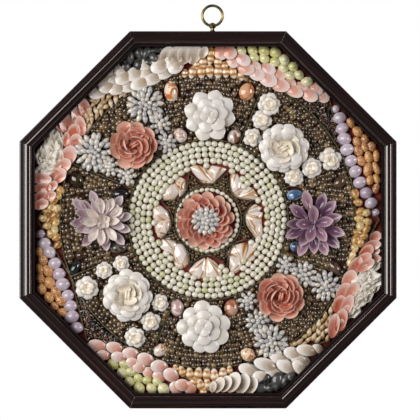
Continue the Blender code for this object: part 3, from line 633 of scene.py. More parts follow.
def paper_finish(name, dark, middle, light, size, rough):
    """Fibrous board or paper: three near tones in soft flecks of a given size in mm."""
    made, tree = new_finish(name)
    place = add(tree, "TexCoord")
    fleck = add(
        tree, "TexNoise",
        {"Vector": place.outputs["Object"], "Scale": PER_METRE / size, "Detail": 4.0, "Roughness": 0.65},
    )
    colour = add(
        tree, "ValToRGB", {"Fac": fleck.outputs["Fac"]},
        stops=[(0.35, dark), (0.5, middle), (0.68, light)],
    )
    relief = add(tree, "Bump", {"Strength": 0.2, "Distance": 0.0001, "Height": fleck.outputs["Fac"]})
    surface = add(
        tree, "BsdfPrincipled",
        {"Base Color": colour.outputs["Color"], "Roughness": rough, "Normal": relief.outputs["Normal"]},
    )
    add(tree, "OutputMaterial", {"Surface": surface.outputs["BSDF"]})
    return made


def pearl_stripes():
    """Polished pieces of cone shell: pearl white, with tan, gold and brown rays from each one's point."""
    made, tree = new_finish("cone_shell_pearl")
    own = add(tree, "Attribute", attribute_name="own")
    tone = add(tree, "Attribute", attribute_name="tone")
    rays = add(tree, "VectorMath", {0: own.outputs["Vector"], 1: (0.95, 10.0, 0.0)}, operation="MULTIPLY")
    # The tone moves each piece to a place of its own in the noise.
    piece = add(tree, "Math", {0: tone.outputs["Fac"], 1: 37.0}, operation="MULTIPLY")
    shift = add(tree, "CombineXYZ", {"Z": piece.outputs["Value"]})
    where = add(
        tree, "VectorMath", {0: rays.outputs["Vector"], 1: shift.outputs["Vector"]}, operation="ADD"
    )
    noise = add(
        tree, "TexNoise",
        {"Vector": where.outputs["Vector"], "Scale": 1.7, "Detail": 0.6, "Roughness": 0.5},
    )
    colour = add(
        tree, "ValToRGB", {"Fac": noise.outputs["Fac"]},
        stops=[(0.30, "ebe5e1"), (0.46, "e8dfd9"), (0.50, "cfa66c"), (0.53, "8a5132"), (0.555, "e0cba8"),
               (0.60, "ece4dc"), (0.72, "caa681")],
    )
    surface = add(
        tree, "BsdfPrincipled",
        {"Base Color": colour.outputs["Color"], "Roughness": 0.16, "IOR": 1.53, "Coat Weight": 0.9,
         "Coat Roughness": 0.05},
    )
    add(tree, "OutputMaterial", {"Surface": surface.outputs["BSDF"]})
    return made


def red_paper():
    """Red paper with a soft fleck of 5 mm, darkened by painted shade in the ring under the brown snails."""
    made, tree = new_finish("red_paper")
    place = add(tree, "TexCoord")
    to_board = frame["nodes"]["ground_board"].matrix_world.inverted()
    middle = to_board @ Vector((MIDDLE_X, WALL_Y, MIDDLE_Z))
    away = add(tree, "VectorMath", {0: place.outputs["Object"], 1: middle}, operation="SUBTRACT")
    flat = add(tree, "VectorMath", {0: away.outputs["Vector"], 1: (1.0, 0.0, 1.0)}, operation="MULTIPLY")
    length = add(tree, "VectorMath", {0: flat.outputs["Vector"]}, operation="LENGTH")
    distance = length.outputs["Value"]
    fleck = add(tree, "TexNoise", {"Vector": place.outputs["Object"], "Scale": 200.0, "Detail": 4.0})
    red = add(
        tree, "ValToRGB", {"Fac": fleck.outputs["Fac"]},
        stops=[(0.35, "58160e"), (0.5, "7a2418"), (0.68, "963525")],
    )
    # Painted shade: between the two card circles the red is mixed 0.8 of the way to near-black, for the
    # shade in the gaps among the brown snails.
    beyond = add(tree, "Math", {0: distance, 1: MIDDLE_CIRCLE}, operation="GREATER_THAN")
    within = add(tree, "Math", {0: distance, 1: OUTER_CIRCLE}, operation="LESS_THAN")
    ring = add(
        tree, "Math", {0: beyond.outputs["Value"], 1: within.outputs["Value"]}, operation="MULTIPLY"
    )
    share = add(tree, "Math", {0: ring.outputs["Value"], 1: 0.8}, operation="MULTIPLY")
    mixed = add(
        tree, "Mix", {"Factor": share.outputs["Value"], MIX_A: red.outputs["Color"]}, data_type="RGBA"
    )
    mixed.inputs[MIX_B].default_value = linear("150804")
    surface = add(tree, "BsdfPrincipled", {"Base Color": mixed.outputs[MIX_RESULT], "Roughness": 0.8})
    add(tree, "OutputMaterial", {"Surface": surface.outputs["BSDF"]})
    return made


HARDWOOD = hardwood()
BRASS = aged_brass()
PEARL = pearl_stripes()
# Gilt card on edge: olive gold in soft flecks, dark to pale.
GILT_CARD = paper_finish("gilt_card", "2a2618", "4a452c", "8d8560", 2.0, 0.5)
RED_PAPER = red_paper()
# Unfinished deal board at the back.
PLAIN_BOARD = paper_finish("plain_deal", "6b5138", "8a6c4a", "a68a62", 9.0, 0.75)


def moulding():
    """The rail's profile as (distance in, height): a flat edge, a bold bead, a groove, a lip, a rebate."""
    points = [(0.0, 0.0)]

    def arc(x, z, across, up, start, end, steps):
        angle = np.radians(np.linspace(start, end, steps + 1))
        points.extend(zip(x + across * np.cos(angle), z + up * np.sin(angle)))

    arc(0.0005, FRAME_DEPTH - 0.0041, 0.0005, 0.0005, 180, 90, 4)
    points.append((0.0034, FRAME_DEPTH - 0.0036))
    arc(0.0077, FRAME_DEPTH - 0.0036, 0.0041, 0.0036, 180, 0, 26)
    lip = FRAME_DEPTH - 0.0052
    groove = lip - 0.0014
    points.extend([(0.0119, groove), (0.0125, groove), (0.0128, lip - 0.0002)])
    points.extend([(0.0130, lip), (RAIL_WIDTH, lip)])
    rebate = RAIL_WIDTH - 0.0050
    points.extend([(RAIL_WIDTH, FLOOR), (rebate, FLOOR), (rebate, 0.0)])
    return np.array(points)


def rail(number):
    """The moulding carried along one side of the octagon between two mitres, with its two ends closed."""
    profile = moulding()
    out = WIDTH / 2 - profile[:, 0]
    reach = (out * math.sin(HALF_SIDE) - MITRE_GAP) / math.cos(HALF_SIDE)
    turn = number * SIDE_ANGLE
    ends = []
    for side in (-1.0, 1.0):
        along = side * reach
        x = out * math.cos(turn) - along * math.sin(turn)
        y = out * math.sin(turn) + along * math.cos(turn)
        ends.append(np.stack([x, y, profile[:, 1]], axis=1))
    girth = np.cumsum(np.hypot(*np.diff(profile, axis=0, prepend=profile[-1:]).T))
    rail_number = np.full(len(out), float(number))
    own = [np.stack([side * reach, girth, rail_number], axis=1) for side in (-1.0, 1.0)]
    points, quads, _, own = tube_skin(np.array(ends), np.array(own), False)
    fill = flat_triangles([Vector((x, z, 0.0)) for x, z in profile])
    closing = np.concatenate([fill, fill[:, ::-1] + len(profile)])
    return whole((points, quads, closing, own), 0.5)


def flat_triangles(outline):
    """A flat outline as triangles that turn anticlockwise."""
    found = np.array(tessellate_polygon([outline]))
    a, b, c = (np.array([outline[i] for i in found[:, k]])[:, :2] for k in range(3))
    twice = (b[:, 0] - a[:, 0]) * (c[:, 1] - a[:, 1]) - (b[:, 1] - a[:, 1]) * (c[:, 0] - a[:, 0])
    found[twice < 0] = found[twice < 0][:, ::-1]
    return found


def outward(made):
    """Turns a closed mesh's faces outwards."""
    mesh = bmesh.new()
    mesh.from_mesh(made.data)
    bmesh.ops.recalc_face_normals(mesh, faces=mesh.faces)
    mesh.to_mesh(made.data)
    mesh.free()


POINTS = ("E", "NE", "N", "NW", "W", "SW", "S", "SE")
CREASE = math.radians(40)
for number, point in enumerate(POINTS):
    made = gather(
        f"moulded_rail_{point}", [rail(number)], [HARDWOOD], [f"frame_rail_{point}"]
    )
    outward(made)
    made.data.set_sharp_from_angle(angle=CREASE)

with_material("back_board", PLAIN_BOARD)
with_material("ground_board", RED_PAPER)
with_material("ring_stud", BRASS)
for card in ("card_partitions", "card_inner_ring", "card_scallops"):
    with_material(card, GILT_CARD)

# The ring: round wire bent to a circle, seen flat on.
RING_X, RING_Y, RING_Z = 0.0043, 0.1959, 0.0120
RING_RADIUS, WIRE_RADIUS = 0.0097, 0.0013
RING_STEPS, WIRE_STEPS = 72, 18
around = np.arange(RING_STEPS) * TURN / RING_STEPS
wire = np.arange(WIRE_STEPS) * TURN / WIRE_STEPS
circle = RING_RADIUS + WIRE_RADIUS * np.cos(wire)[None, :]
ring_points = np.stack(
    [
        RING_X + circle * np.cos(around)[:, None],
        RING_Y + circle * np.sin(around)[:, None],
        np.tile(RING_Z + WIRE_RADIUS * np.sin(wire), (RING_STEPS, 1)),
    ],
    axis=-1,
)
ring_form = tube_skin(ring_points, np.zeros_like(ring_points), True)
outward(gather("brass_ring", [whole(ring_form, 0.5)], [BRASS], ["hanging_ring"]))


def staggered_row(radius, count, row):
    """One row round the middle, as distances and angles, moved on by half a step if its number is odd."""
    angle = (np.arange(count) + 0.5 * (row % 2)) * TURN / count
    return np.stack([np.full(count, radius), angle], axis=1)


def strayed(rows, random, wander):
    """The distances and angles of all rows, each place moved at random a little way."""
    found = np.concatenate(rows)
    stray = random.normal(size=found.shape) * wander
    return found[:, 0] + stray[:, 0], found[:, 1] + stray[:, 1] / found[:, 0]


def rows_round(inner, outer, across, along, random, wander):
    """Staggered places in rows round the middle between two radii, as distances and angles."""
    radii = np.arange(inner, outer + TINY, across)
    rows = [staggered_row(radius, round(TURN * radius / along), row) for row, radius in enumerate(radii)]
    return strayed(rows, random, wander)


def rows_between_cards(inner, outer, across, along, margin, random, wander):
    """Places in rows that keep a margin from the radial cards, as distances and angles.

    Rows are moved a quarter step to and fro by turns, less so towards the cards.
    """
    rows = []
    for row, radius in enumerate(np.arange(inner, outer + TINY, across)):
        limit = HALF_SIDE - math.asin(margin / radius)
        count = round(2 * limit * radius / along) + 1
        for number in range(SIDES):
            spread = np.linspace(-limit, limit, count)
            shift = (0.25 if (row + number) % 2 else -0.25) * along / radius
            spread += shift * np.cos(spread / limit * math.pi / 2)
            rows.append(np.stack([np.full(count, radius), number * SIDE_ANGLE + spread], axis=1))
    return strayed(rows, random, wander)


def outside_discs(places, discs, margin):
    """Which places lie outside all discs, given in photograph pixels as x, y and diameter."""
    discs = np.asarray(discs, float)
    middles = photo(discs[:, :2])
    apart = np.hypot(*(places[:, None, :2] - middles[None]).transpose(2, 0, 1))
    return np.all(apart > discs[None, :, 2] / 2 * PIXEL + margin, axis=1)


def from_outline(places, outline):
    """Signed distance of each place from a closed outline of (x, y) points: negative inside."""
    start = np.asarray(outline, float)
    end = np.roll(start, -1, axis=0)
    side = end - start
    offset = places[:, None, :2] - start[None]
    share = np.clip((offset * side).sum(axis=2) / (side**2).sum(axis=1), 0.0, 1.0)
    nearest = np.hypot(*(offset - share[..., None] * side).transpose(2, 0, 1)).min(axis=1)
    crosses = (start[None, :, 1] > places[:, None, 1]) != (end[None, :, 1] > places[:, None, 1])
    climb = np.where(side[:, 1] == 0.0, 1.0, side[:, 1])
    at = start[:, 0] + (places[:, None, 1] - start[:, 1]) * side[:, 0] / climb
    inside = (crosses & (places[:, None, 0] < at)).sum(axis=1) % 2 == 1
    return np.where(inside, -nearest, nearest)


def high(places, height):
    """Flat places with a height added as their third number."""
    height = np.broadcast_to(height, (len(places),))
    return np.concatenate([places[:, :2], height[:, None]], axis=1)


# Flowers, sprays and polished shells, each as x, y and diameter in pixels of the photograph.
CUP_N = (209.0, 115.0, 52.0)
CUP_S = (203.4, 327.3, 52.0)
LONG_W = (102.7, 221.5, 56.0)
LONG_E = (313.7, 224.0, 60.0)
ROSE_NW = (133.5, 145.0, 47.0)
ROSE_SE = (280.8, 297.0, 47.0)
ROSE_NE = (284.0, 148.0, 49.0)
ROSE_SW = (127.3, 295.5, 51.0)
DAISIES = {
    "daisies_NW_right": [(145.0, 104.0, 38.0), (160.0, 124.0, 22.0), (166.0, 143.0, 21.0)],
    "daisies_NW_left": [(94.0, 152.0, 40.0), (110.0, 167.0, 20.0), (127.0, 176.0, 20.0)],
    "daisies_SE_right": [(286.0, 265.0, 20.0), (304.5, 274.7, 26.0), (325.7, 286.0, 31.0)],
    "daisies_SE_left": [(248.0, 301.0, 20.0), (258.0, 322.0, 26.0), (271.0, 342.0, 35.0)],
}
FLORETS = {
    "florets_NE_left": [(269.5, 104.0, 23.0), (262.0, 120.0, 20.5), (252.7, 137.7, 19.0)],
    "florets_NE_right": [(330.8, 159.4, 23.5), (311.8, 167.8, 21.5), (294.2, 176.5, 20.0)],
    "florets_SW_right": [(86.8, 287.8, 23.5), (104.0, 270.5, 17.5), (121.0, 263.5, 17.0)],
    "florets_SW_left": [(160.0, 303.0, 18.0), (150.5, 322.0, 20.5), (135.2, 338.0, 21.5)],
}
FLOWERS = (CUP_N, CUP_S, LONG_W, LONG_E, ROSE_NW, ROSE_SE, ROSE_NE, ROSE_SW)
# The polished shells' width as a share of their length, where they stand, and their height.
POLISHED_WIDE, POLISHED_BASE, POLISHED_TALL = 0.72, 0.0150, 0.0155
# Polished shells as x, y, length, width, heading in degrees, and their colours.
POLISHED = [
    (171.0, 91.0, 22.0, 14.5, 95, "c8752e", "f1e4d2"),
    (247.0, 91.3, 19.0, 16.0, 70, "b8642f", "d9a882"),
    (180.0, 135.0, 16.0, 14.0, 120, "b08a78", "eee2dc"),
    (234.5, 136.0, 16.0, 14.0, 60, "8c6247", "e6dcd4"),
    (231.5, 308.0, 18.0, 15.0, 80, "a8684a", "cfa793"),
    (177.0, 308.0, 18.0, 14.0, 100, "c7a2a0", "e9dbd8"),
    (159.7, 350.6, 15.0, 13.0, 45, "b9702c", "ece3d8"),
    (248.0, 355.0, 16.0, 14.0, 150, "c97a3a", "f0dcc0"),
    (120.7, 194.0, 18.0, 12.0, 5, "08090b", "1c1e22"),
    (117.6, 248.0, 19.0, 11.5, 5, "2a2622", "6d675f"),
    (76.0, 179.5, 17.0, 14.0, 130, "1f1808", "3b3015"),
    (81.0, 255.0, 14.0, 10.0, 20, "2a1710", "432b20"),
    (74.7, 268.0, 17.0, 10.0, 60, "0b1012", "27383a"),
    (295.0, 195.0, 17.0, 11.5, 5, "456a95", "9cb8d0"),
    (296.0, 247.0, 13.0, 11.0, 150, "2e4460", "7d94b4"),
    (340.2, 182.0, 16.0, 12.0, 50, "30231a", "57442f"),
    (335.3, 268.0, 18.0, 11.0, 130, "2e211b", "5f4a3c"),
]


def polished_finish(name, dark, light):
    """A polished shell: two colours that run into each other in soft clouds, under a bright gloss."""
    made, tree = new_finish(name)
    place = add(tree, "TexCoord")
    cloud = add(
        tree, "TexNoise",
        {"Vector": place.outputs["Object"], "Scale": 110.0, "Detail": 2.0, "Distortion": 1.5},
    )
    colour = add(
        tree, "ValToRGB", {"Fac": cloud.outputs["Fac"]},
        stops=[(0.40, dark), (0.52, light), (0.66, light)],
    )
    surface = add(
        tree, "BsdfPrincipled",
        {"Base Color": colour.outputs["Color"], "Roughness": 0.15, "IOR": 1.55, "Coat Weight": 0.9,
         "Coat Roughness": 0.04},
    )
    add(tree, "OutputMaterial", {"Surface": surface.outputs["BSDF"]})
    return made


SECTORS = {point: number * SIDE_ANGLE for number, point in enumerate(POINTS)}


def off_axis(angle):
    """Angles from the nearest of the eight axes."""
    return (angle + HALF_SIDE) % SIDE_ANGLE - HALF_SIDE


def in_sector(angle, axis):
    """Which angles lie within half a side of an axis."""
    return np.abs((angle - axis + math.pi) % TURN - math.pi) < HALF_SIDE


def anticlockwise(outline):
    """The outline of (x, y) points, turned round if it runs clockwise."""
    following = np.roll(outline, -1, axis=0)
    twice = (outline[:, 0] * following[:, 1] - outline[:, 1] * following[:, 0]).sum()
    return outline[::-1] if twice < 0 else outline


def make_snail_beds():
    """Brown snails in rough rows, a bed to a compartment, with polished shells on them."""
    random = numbers(11)
    radius, angle = rows_between_cards(
        MIDDLE_CIRCLE + 0.0026, OUTER_CIRCLE - 0.0026, 0.00428, 0.0049, 0.0031, random, 0.00050
    )
    spots = polar(radius, angle)
    flowers = [(x, y, 0.52 * size) for x, y, size in FLOWERS]
    sprays = [(x, y, 0.50 * size) for row in DAISIES.values() for x, y, size in row]
    tufts = [(x, y, 0.55 * size) for row in FLORETS.values() for x, y, size in row]
    keep = outside_discs(spots, flowers + sprays + tufts, 0.0010)
    keep &= outside_discs(spots, [(x, y, (a + b) / 2) for x, y, a, b, *_ in POLISHED], 0.0006)
    spots, angle = spots[keep], angle[keep]
    form = turban_form(6, 10, spire=0.16, step=0.24)
    count = len(spots)
    width = random.uniform(0.0054, 0.0070, count)
    height = random.uniform(0.0032, 0.0039, count)
    sizes = np.stack([width, width, height], axis=1)
    base = FLOOR + random.uniform(0.0, 0.0003, count)
    places = high(spots, base)
    heading = random.uniform(0.0, TURN, count)
    lean = random.normal(0.0, 0.32, count)
    tones = np.clip(random.normal(0.5, 0.24, count), 0.0, 1.0)
    shell = valve_form(9, 22, wide=POLISHED_WIDE, deep=0.30, tip=0.15, peak=0.45)
    polished = 0
    for point, axis in SECTORS.items():
        mine = in_sector(angle, axis)
        parts = [lay(form, places[mine], sizes[mine], heading[mine], lean[mine], 0.0, tones[mine])]
        shown = [BROWN_SNAIL]
        for x, y, length, width_across, degrees, dark, light in POLISHED:
            spot = photo((x, y))
            if not in_sector(math.atan2(spot[1], spot[0]), axis):
                continue
            long, wide = length * PIXEL, width_across * PIXEL
            turn = math.radians(degrees)
            start = spot - 0.5 * long * np.array([math.cos(turn), math.sin(turn)])
            size = (long, wide / POLISHED_WIDE, POLISHED_TALL)
            parts.append(lay(shell, [(*start, POLISHED_BASE)], size, turn, finish=len(shown)))
            shown.append(polished_finish(f"polished_shell_{polished}", dark, light))
            polished += 1
        gather(f"snails_{point}", parts, shown, [f"snail_bed_{point}"])


make_snail_beds()


LUNETTE_SIDE = 0.0478  # from the middle to the straight line between two tips
LUNETTE_DEPTH = 0.0132
LUNETTE_TIP_WIDTH = 0.0030
BOW_CLEARANCE = 0.0021  # from the bow to the nearest brown snails' middles


def lunette_bow(angle):
    """How far from the middle the lunettes' bowed inner sides are: an ellipse hung between their tips."""
    share = np.abs(off_axis(angle)) / HALF_SIDE
    depth = LUNETTE_DEPTH * np.sqrt(np.clip(1.0 - share**2, 0.0, 1.0))
    return LUNETTE_SIDE / np.cos(off_axis(angle)) - np.maximum(depth, LUNETTE_TIP_WIDTH)


# Each lunette is laid of two or three pieces of cone shell: how far it lies from its place in the
# photograph, and for each piece the tip that its rays run from, and its outline, all in pixels.
LUNETTES = {
    "N": (
        (0, -3.6),
        [
            ((213, 186), [(190.5, 171.5), (197, 169), (206, 172.5), (209.5, 177), (212.5, 185),
                          (202, 185.5)]),
            ((214.5, 184), [(209, 175), (211, 169.5), (226, 172.5), (220, 179), (214.5, 184.5)]),
            ((206, 184), [(202, 185.2), (215, 184.8), (213.5, 187.4), (205, 187.2)]),
        ],
    ),
    "NE": (
        (0.8, -0.8),
        [
            ((229, 196), [(230, 177), (236, 175.5), (241.5, 184), (240.5, 193), (236.5, 198.5),
                          (229.5, 191)]),
            ((237.5, 198.6), [(242, 192), (247, 187.5), (252, 190), (256.5, 196), (254, 200), (244, 200),
                              (238.5, 198)]),
        ],
    ),
    "E": (
        (0.6, 0),
        [
            ((244.5, 213), [(245.5, 212), (250, 206.5), (254.5, 204.5), (260.5, 208), (258, 211.5),
                            (250, 213)]),
            ((245, 214.5), [(244.3, 214), (257, 212.5), (261.5, 213.5), (259.5, 223), (253.5, 230),
                            (246, 223)]),
            ((258, 238), [(246.5, 224.5), (253.5, 230), (260.3, 221), (262, 232), (260.5, 238),
                          (255.5, 238.5)]),
        ],
    ),
    "SE": (
        (0.8, 0.8),
        [
            ((243, 262), [(227.5, 253.5), (232.5, 245.5), (244, 243), (252.5, 245), (255, 250),
                          (251.5, 260), (240, 258)]),
            ((229, 272), [(228, 255), (241, 258.5), (240.5, 268), (235, 271.5), (230, 270)]),
        ],
    ),
    "S": (
        (0, 0.4),
        [
            ((206.5, 257.5), [(204.5, 258.3), (205.5, 276), (197, 278), (189.5, 271), (196, 263)]),
            ((207, 257.5), [(207.5, 258), (215, 262.5), (221.5, 270), (220, 276.5), (206.5, 277)]),
        ],
    ),
    "SW": (
        (3.0, -3.0),
        [
            ((172, 256), [(157.5, 250), (160, 242.5), (166.5, 241), (173, 246.5), (170.5, 257.5),
                          (164, 255)]),
            ((178, 272), [(173.5, 248), (180, 248.5), (185.5, 257), (184.8, 266), (171.5, 265),
                          (170.8, 256)]),
            ((178, 264), [(172, 265.8), (184.5, 266.5), (183, 270), (177, 272.5), (173, 270.5)]),
        ],
    ),
    "W": (
        (3.6, 0),
        [
            ((152, 214), [(150, 207.5), (156, 206), (163.5, 212), (165.5, 219), (152, 221.5),
                          (149.5, 215)]),
            ((160, 221), [(152.5, 222.5), (165.8, 219.8), (167, 227), (163, 233.5), (152, 229.5)]),
            ((153, 231), [(151.6, 230.6), (162.3, 234.3), (158, 238.5), (154, 236.5)]),
        ],
    ),
    "NW": (
        (1.0, 1.0),
        [
            ((171, 198), [(161.5, 194), (166, 185.5), (173, 183.5), (178.3, 189), (172.5, 198.5),
                          (163.5, 198)]),
            ((178, 190), [(173.5, 182), (178, 176.5), (184.5, 180), (184.5, 190.5), (178.5, 196),
                          (177.5, 189)]),
        ],
    ),
}
LUNETTE_PIECES = [
    (photo(tip) + moved, photo(outline) + moved)
    for shift, pieces in LUNETTES.values()
    for moved in [photo(PHOTO_MIDDLE + np.array(shift))]
    for tip, outline in pieces
]


def make_lunettes():
    """Half-moons of cone-shell pieces, each a low pillow whose rays run from its own tip."""
    parts = []
    for number, (tip, corners) in enumerate(LUNETTE_PIECES):
        outline = anticlockwise(corners)
        form = pillow(outline, FLOOR, FLOOR + 0.0052, edge=0.75, rows=11, crown=0.8, grow=1.17)
        points, quads, ends, own = form
        away = own[:, :2] - tip
        fan = np.arctan2(away[:, 1], away[:, 0])
        own = np.stack([fan, np.hypot(away[:, 0], away[:, 1]), own[:, 2]], axis=1)
        parts.append(whole((points, quads, ends, own), (number * 0.381) % 1.0))
    gather("cone_shell_lunettes", parts, [PEARL], ["pearl_lunettes"])


make_lunettes()


# Rows of green beads, each as its radius in pixels and its number of beads all round.
BEAD_ROWS = ((76.6, 72), (70.9, 68), (65.3, 62), (59.7, 57), (54.2, 51), (49.0, 46))
ROSETTE_BEADS = 36


def make_green_beads():
    """Staggered rows of pale green beads, left out where a lunette lies, and one row round the rosette."""
    random = numbers(23)
    form = ovoid_form(4, 8)
    rows = [staggered_row(radius * PIXEL, count, row) for row, (radius, count) in enumerate(BEAD_ROWS)]
    rows = np.concatenate(rows)
    radius = rows[:, 0] + random.normal(0.0, 0.00018, len(rows))
    angle = rows[:, 1] + random.normal(0.0, 0.00025, len(rows)) / rows[:, 0]
    spots = polar(radius, angle)
    keep = radius > lunette_bow(angle) + 0.0030
    for _, outline in LUNETTE_PIECES:
        keep &= from_outline(spots, outline) > 0.0014
    spots, angle = spots[keep], angle[keep]

    def beads(spots, angle, length, wide, base):
        count = len(spots)
        turn = angle + math.pi / 2 + random.normal(0.0, 0.35, count)
        long = length * random.uniform(0.92, 1.06, count)
        across = wide * random.uniform(0.94, 1.06, count)
        sizes = np.stack([long, across, np.full(count, wide * 0.95)], axis=1)
        start = spots - polar(0.5 * long, turn)
        tones = np.clip(random.beta(3.0, 1.6, count), 0.0, 1.0)
        return lay(form, high(start, base), sizes, turn, tone=tones)

    field = beads(spots, angle, 0.0067, 0.0061, FLOOR + 0.0028)
    gather("green_beads", [field], [GREEN_BEAD], ["green_bead_field"])
    angle = np.arange(ROSETTE_BEADS) * TURN / ROSETTE_BEADS
    middle = photo((205.6, 220.9)) * 0.35
    spots = middle + polar(0.0294, angle)
    ring = beads(spots, angle, 0.0055, 0.0044, FLOOR + 0.0023)
    gather("bead_circle", [ring], [GREEN_BEAD], ["bead_ring"])


make_green_beads()


def make_spandrel_snails():
    """Tiny brown snails between the scalloped card and the card ring."""
    random = numbers(31)
    radius, angle = rows_round(0.0340, 0.0505, 0.0028, 0.0031, random, 0.0002)
    keep = radius < lunette_bow(angle) - BOW_CLEARANCE
    radius, angle = radius[keep], angle[keep]
    count = len(radius)
    spots = polar(radius, angle)
    width = random.uniform(0.0032, 0.0040, count)
    sizes = np.stack([width, width, 0.85 * width], axis=1)
    form = turban_form(4, 8, spire=0.16, step=0.20)
    tones = random.uniform(0.0, 0.9, count)
    part = lay(form, high(spots, FLOOR), sizes, random.uniform(0.0, TURN, count), 0.2, 0.0, tones)
    gather("spandrel_snails", [part], [BROWN_SNAIL], [])


make_spandrel_snails()


def petals(
    form, middle, spots, length, wide, tall, pitch, base, tones, finish=0, roll=math.pi, twist=0.0
):
    """Petals set round a middle, each with its own middle at a spot, headed outwards and tipped up.

    length, wide and tall are in metres, pitch and twist in degrees; base is the height of their feet.
    """
    spots = np.asarray(spots, float)
    away = spots - middle
    heading = np.arctan2(away[:, 1], away[:, 0]) + np.radians(twist)
    pitch, length, wide, tall = (
        np.broadcast_to(value, (len(spots),)) for value in (np.radians(pitch), length, wide, tall)
    )
    start = spots - polar(0.5 * length * np.cos(pitch), heading)
    sizes = np.stack([length, wide, tall], axis=1)
    return lay(form, high(start, base), sizes, heading, pitch, roll, tones, finish)


def ring_of(middle, radius, count, first, random=None, stray=0.0):
    """Places evenly round a middle, the first at an angle in degrees."""
    angle = math.radians(first) + np.arange(count) * TURN / count
    if random is not None:
        angle = angle + random.normal(0.0, stray, count)
    return middle + polar(radius, angle)


def foot(middle, radius, top):
    """A low round pad under a flower, from the ground to the feet of its petals."""
    outline = ring_of(middle, radius, 20, 0.0)
    points, quads, ends, own = pillow(outline, FLOOR, top, edge=0.5, rows=5)
    own = np.stack([own[:, 2], own[:, 0], np.zeros(len(points))], axis=1)
    return whole((points, quads, ends, own), 0.2)


# Cup and round petals are as broad as long, a long one is slim and drawn to a tip, and a small one's
# lip is waved.
POINTED_CUP = valve_form(
    13, 26, wide=1.0, deep=0.30, hinge=0.35, thick=0.05, peak=0.42, full=1.0, sharp=0.55
)
ROUND_CUP = valve_form(11, 24, wide=1.0, deep=0.32, hinge=0.30, thick=0.05, peak=0.48, full=1.05)
FLAT_CUP = valve_form(11, 24, wide=1.0, deep=0.24, hinge=0.20, thick=0.05, peak=0.48, full=1.0)
ROUND_PETAL = valve_form(11, 24, wide=1.05, deep=0.34, tip=0.0, hinge=0.25, thick=0.05, peak=0.46)
LONG_PETAL = valve_form(
    13, 24, wide=0.62, deep=0.26, hinge=0.40, thick=0.04, peak=0.45, full=0.9, sharp=0.72
)
SMALL_PETAL = valve_form(7, 16, wide=0.98, deep=0.34, hinge=0.3, thick=0.07, peak=0.48, waves=(7, 0.06))
RICE_GRAIN = ovoid_form(7, 10, point=0.05, blunt=0.10, almond=1.35)


def make_cup_flowers():
    """The white flowers at the top and the bottom: cup petals laid in tiers, like a low dome."""
    # Each with its seed, place, petal, how far its tiers are drawn in, and its outer and inner petals.
    plans = {
        "N": (
            41,
            CUP_N,
            POINTED_CUP,
            0.84,
            [(200, 98.5), (215.5, 96.5), (191, 110.5), (193, 124), (227, 104.5), (228.5, 118), (203, 134),
             (218, 133)],
            [(205, 105.5), (217, 105.5), (200, 117), (206, 126), (218.5, 124), (221, 113)],
        ),
        "S": (
            42,
            CUP_S,
            ROUND_CUP,
            0.77,
            [(189.5, 314), (202, 305.5), (215.5, 311.5), (225.5, 323.5), (223.5, 338), (212.5, 348),
             (200, 347.5), (188, 340), (181.5, 327.5)],
            [(194, 322), (203.6, 316.5), (213.5, 322.5), (214, 333.5), (204, 339), (193.5, 334)],
        ),
    }
    for point, (seed, (x, y, _), cup, drawn, outer, inner) in plans.items():
        random = numbers(seed)
        middle = photo((x, y))
        parts = [foot(middle, 0.0112, FOOT_TOP)]
        for spots, long, wide, tall, pitch, lift in (
            (middle + drawn * (photo(outer) - middle), 0.0196, 0.0180, 0.0110, 5, 0.0006),
            (middle + drawn * (photo(inner) - middle), 0.0176, 0.0166, 0.0105, 13, 0.0034),
            (ring_of(middle, 0.0030, 4, 20), 0.0130, 0.0126, 0.0100, 26, 0.0058),
        ):
            count = len(spots)
            tones = random.uniform(0.35, 1.0, count)
            tilt = pitch + random.normal(0.0, 3.0, count)
            base = SEAT + lift + random.uniform(0.0, 0.0009, count)
            twist = random.normal(0.0, 5.0, count)
            parts.append(
                petals(cup, middle, spots, long, wide, tall, tilt, base, tones, roll=0.0, twist=twist)
            )
        gather(f"cup_flower_{point}", parts, [WHITE_SHELL], [f"flower_{point}"])


make_cup_flowers()


def with_tones(rows):
    """The places and the tones of rows of ((x, y), tone)."""
    return photo([spot for spot, _ in rows]), np.array([tone for _, tone in rows])


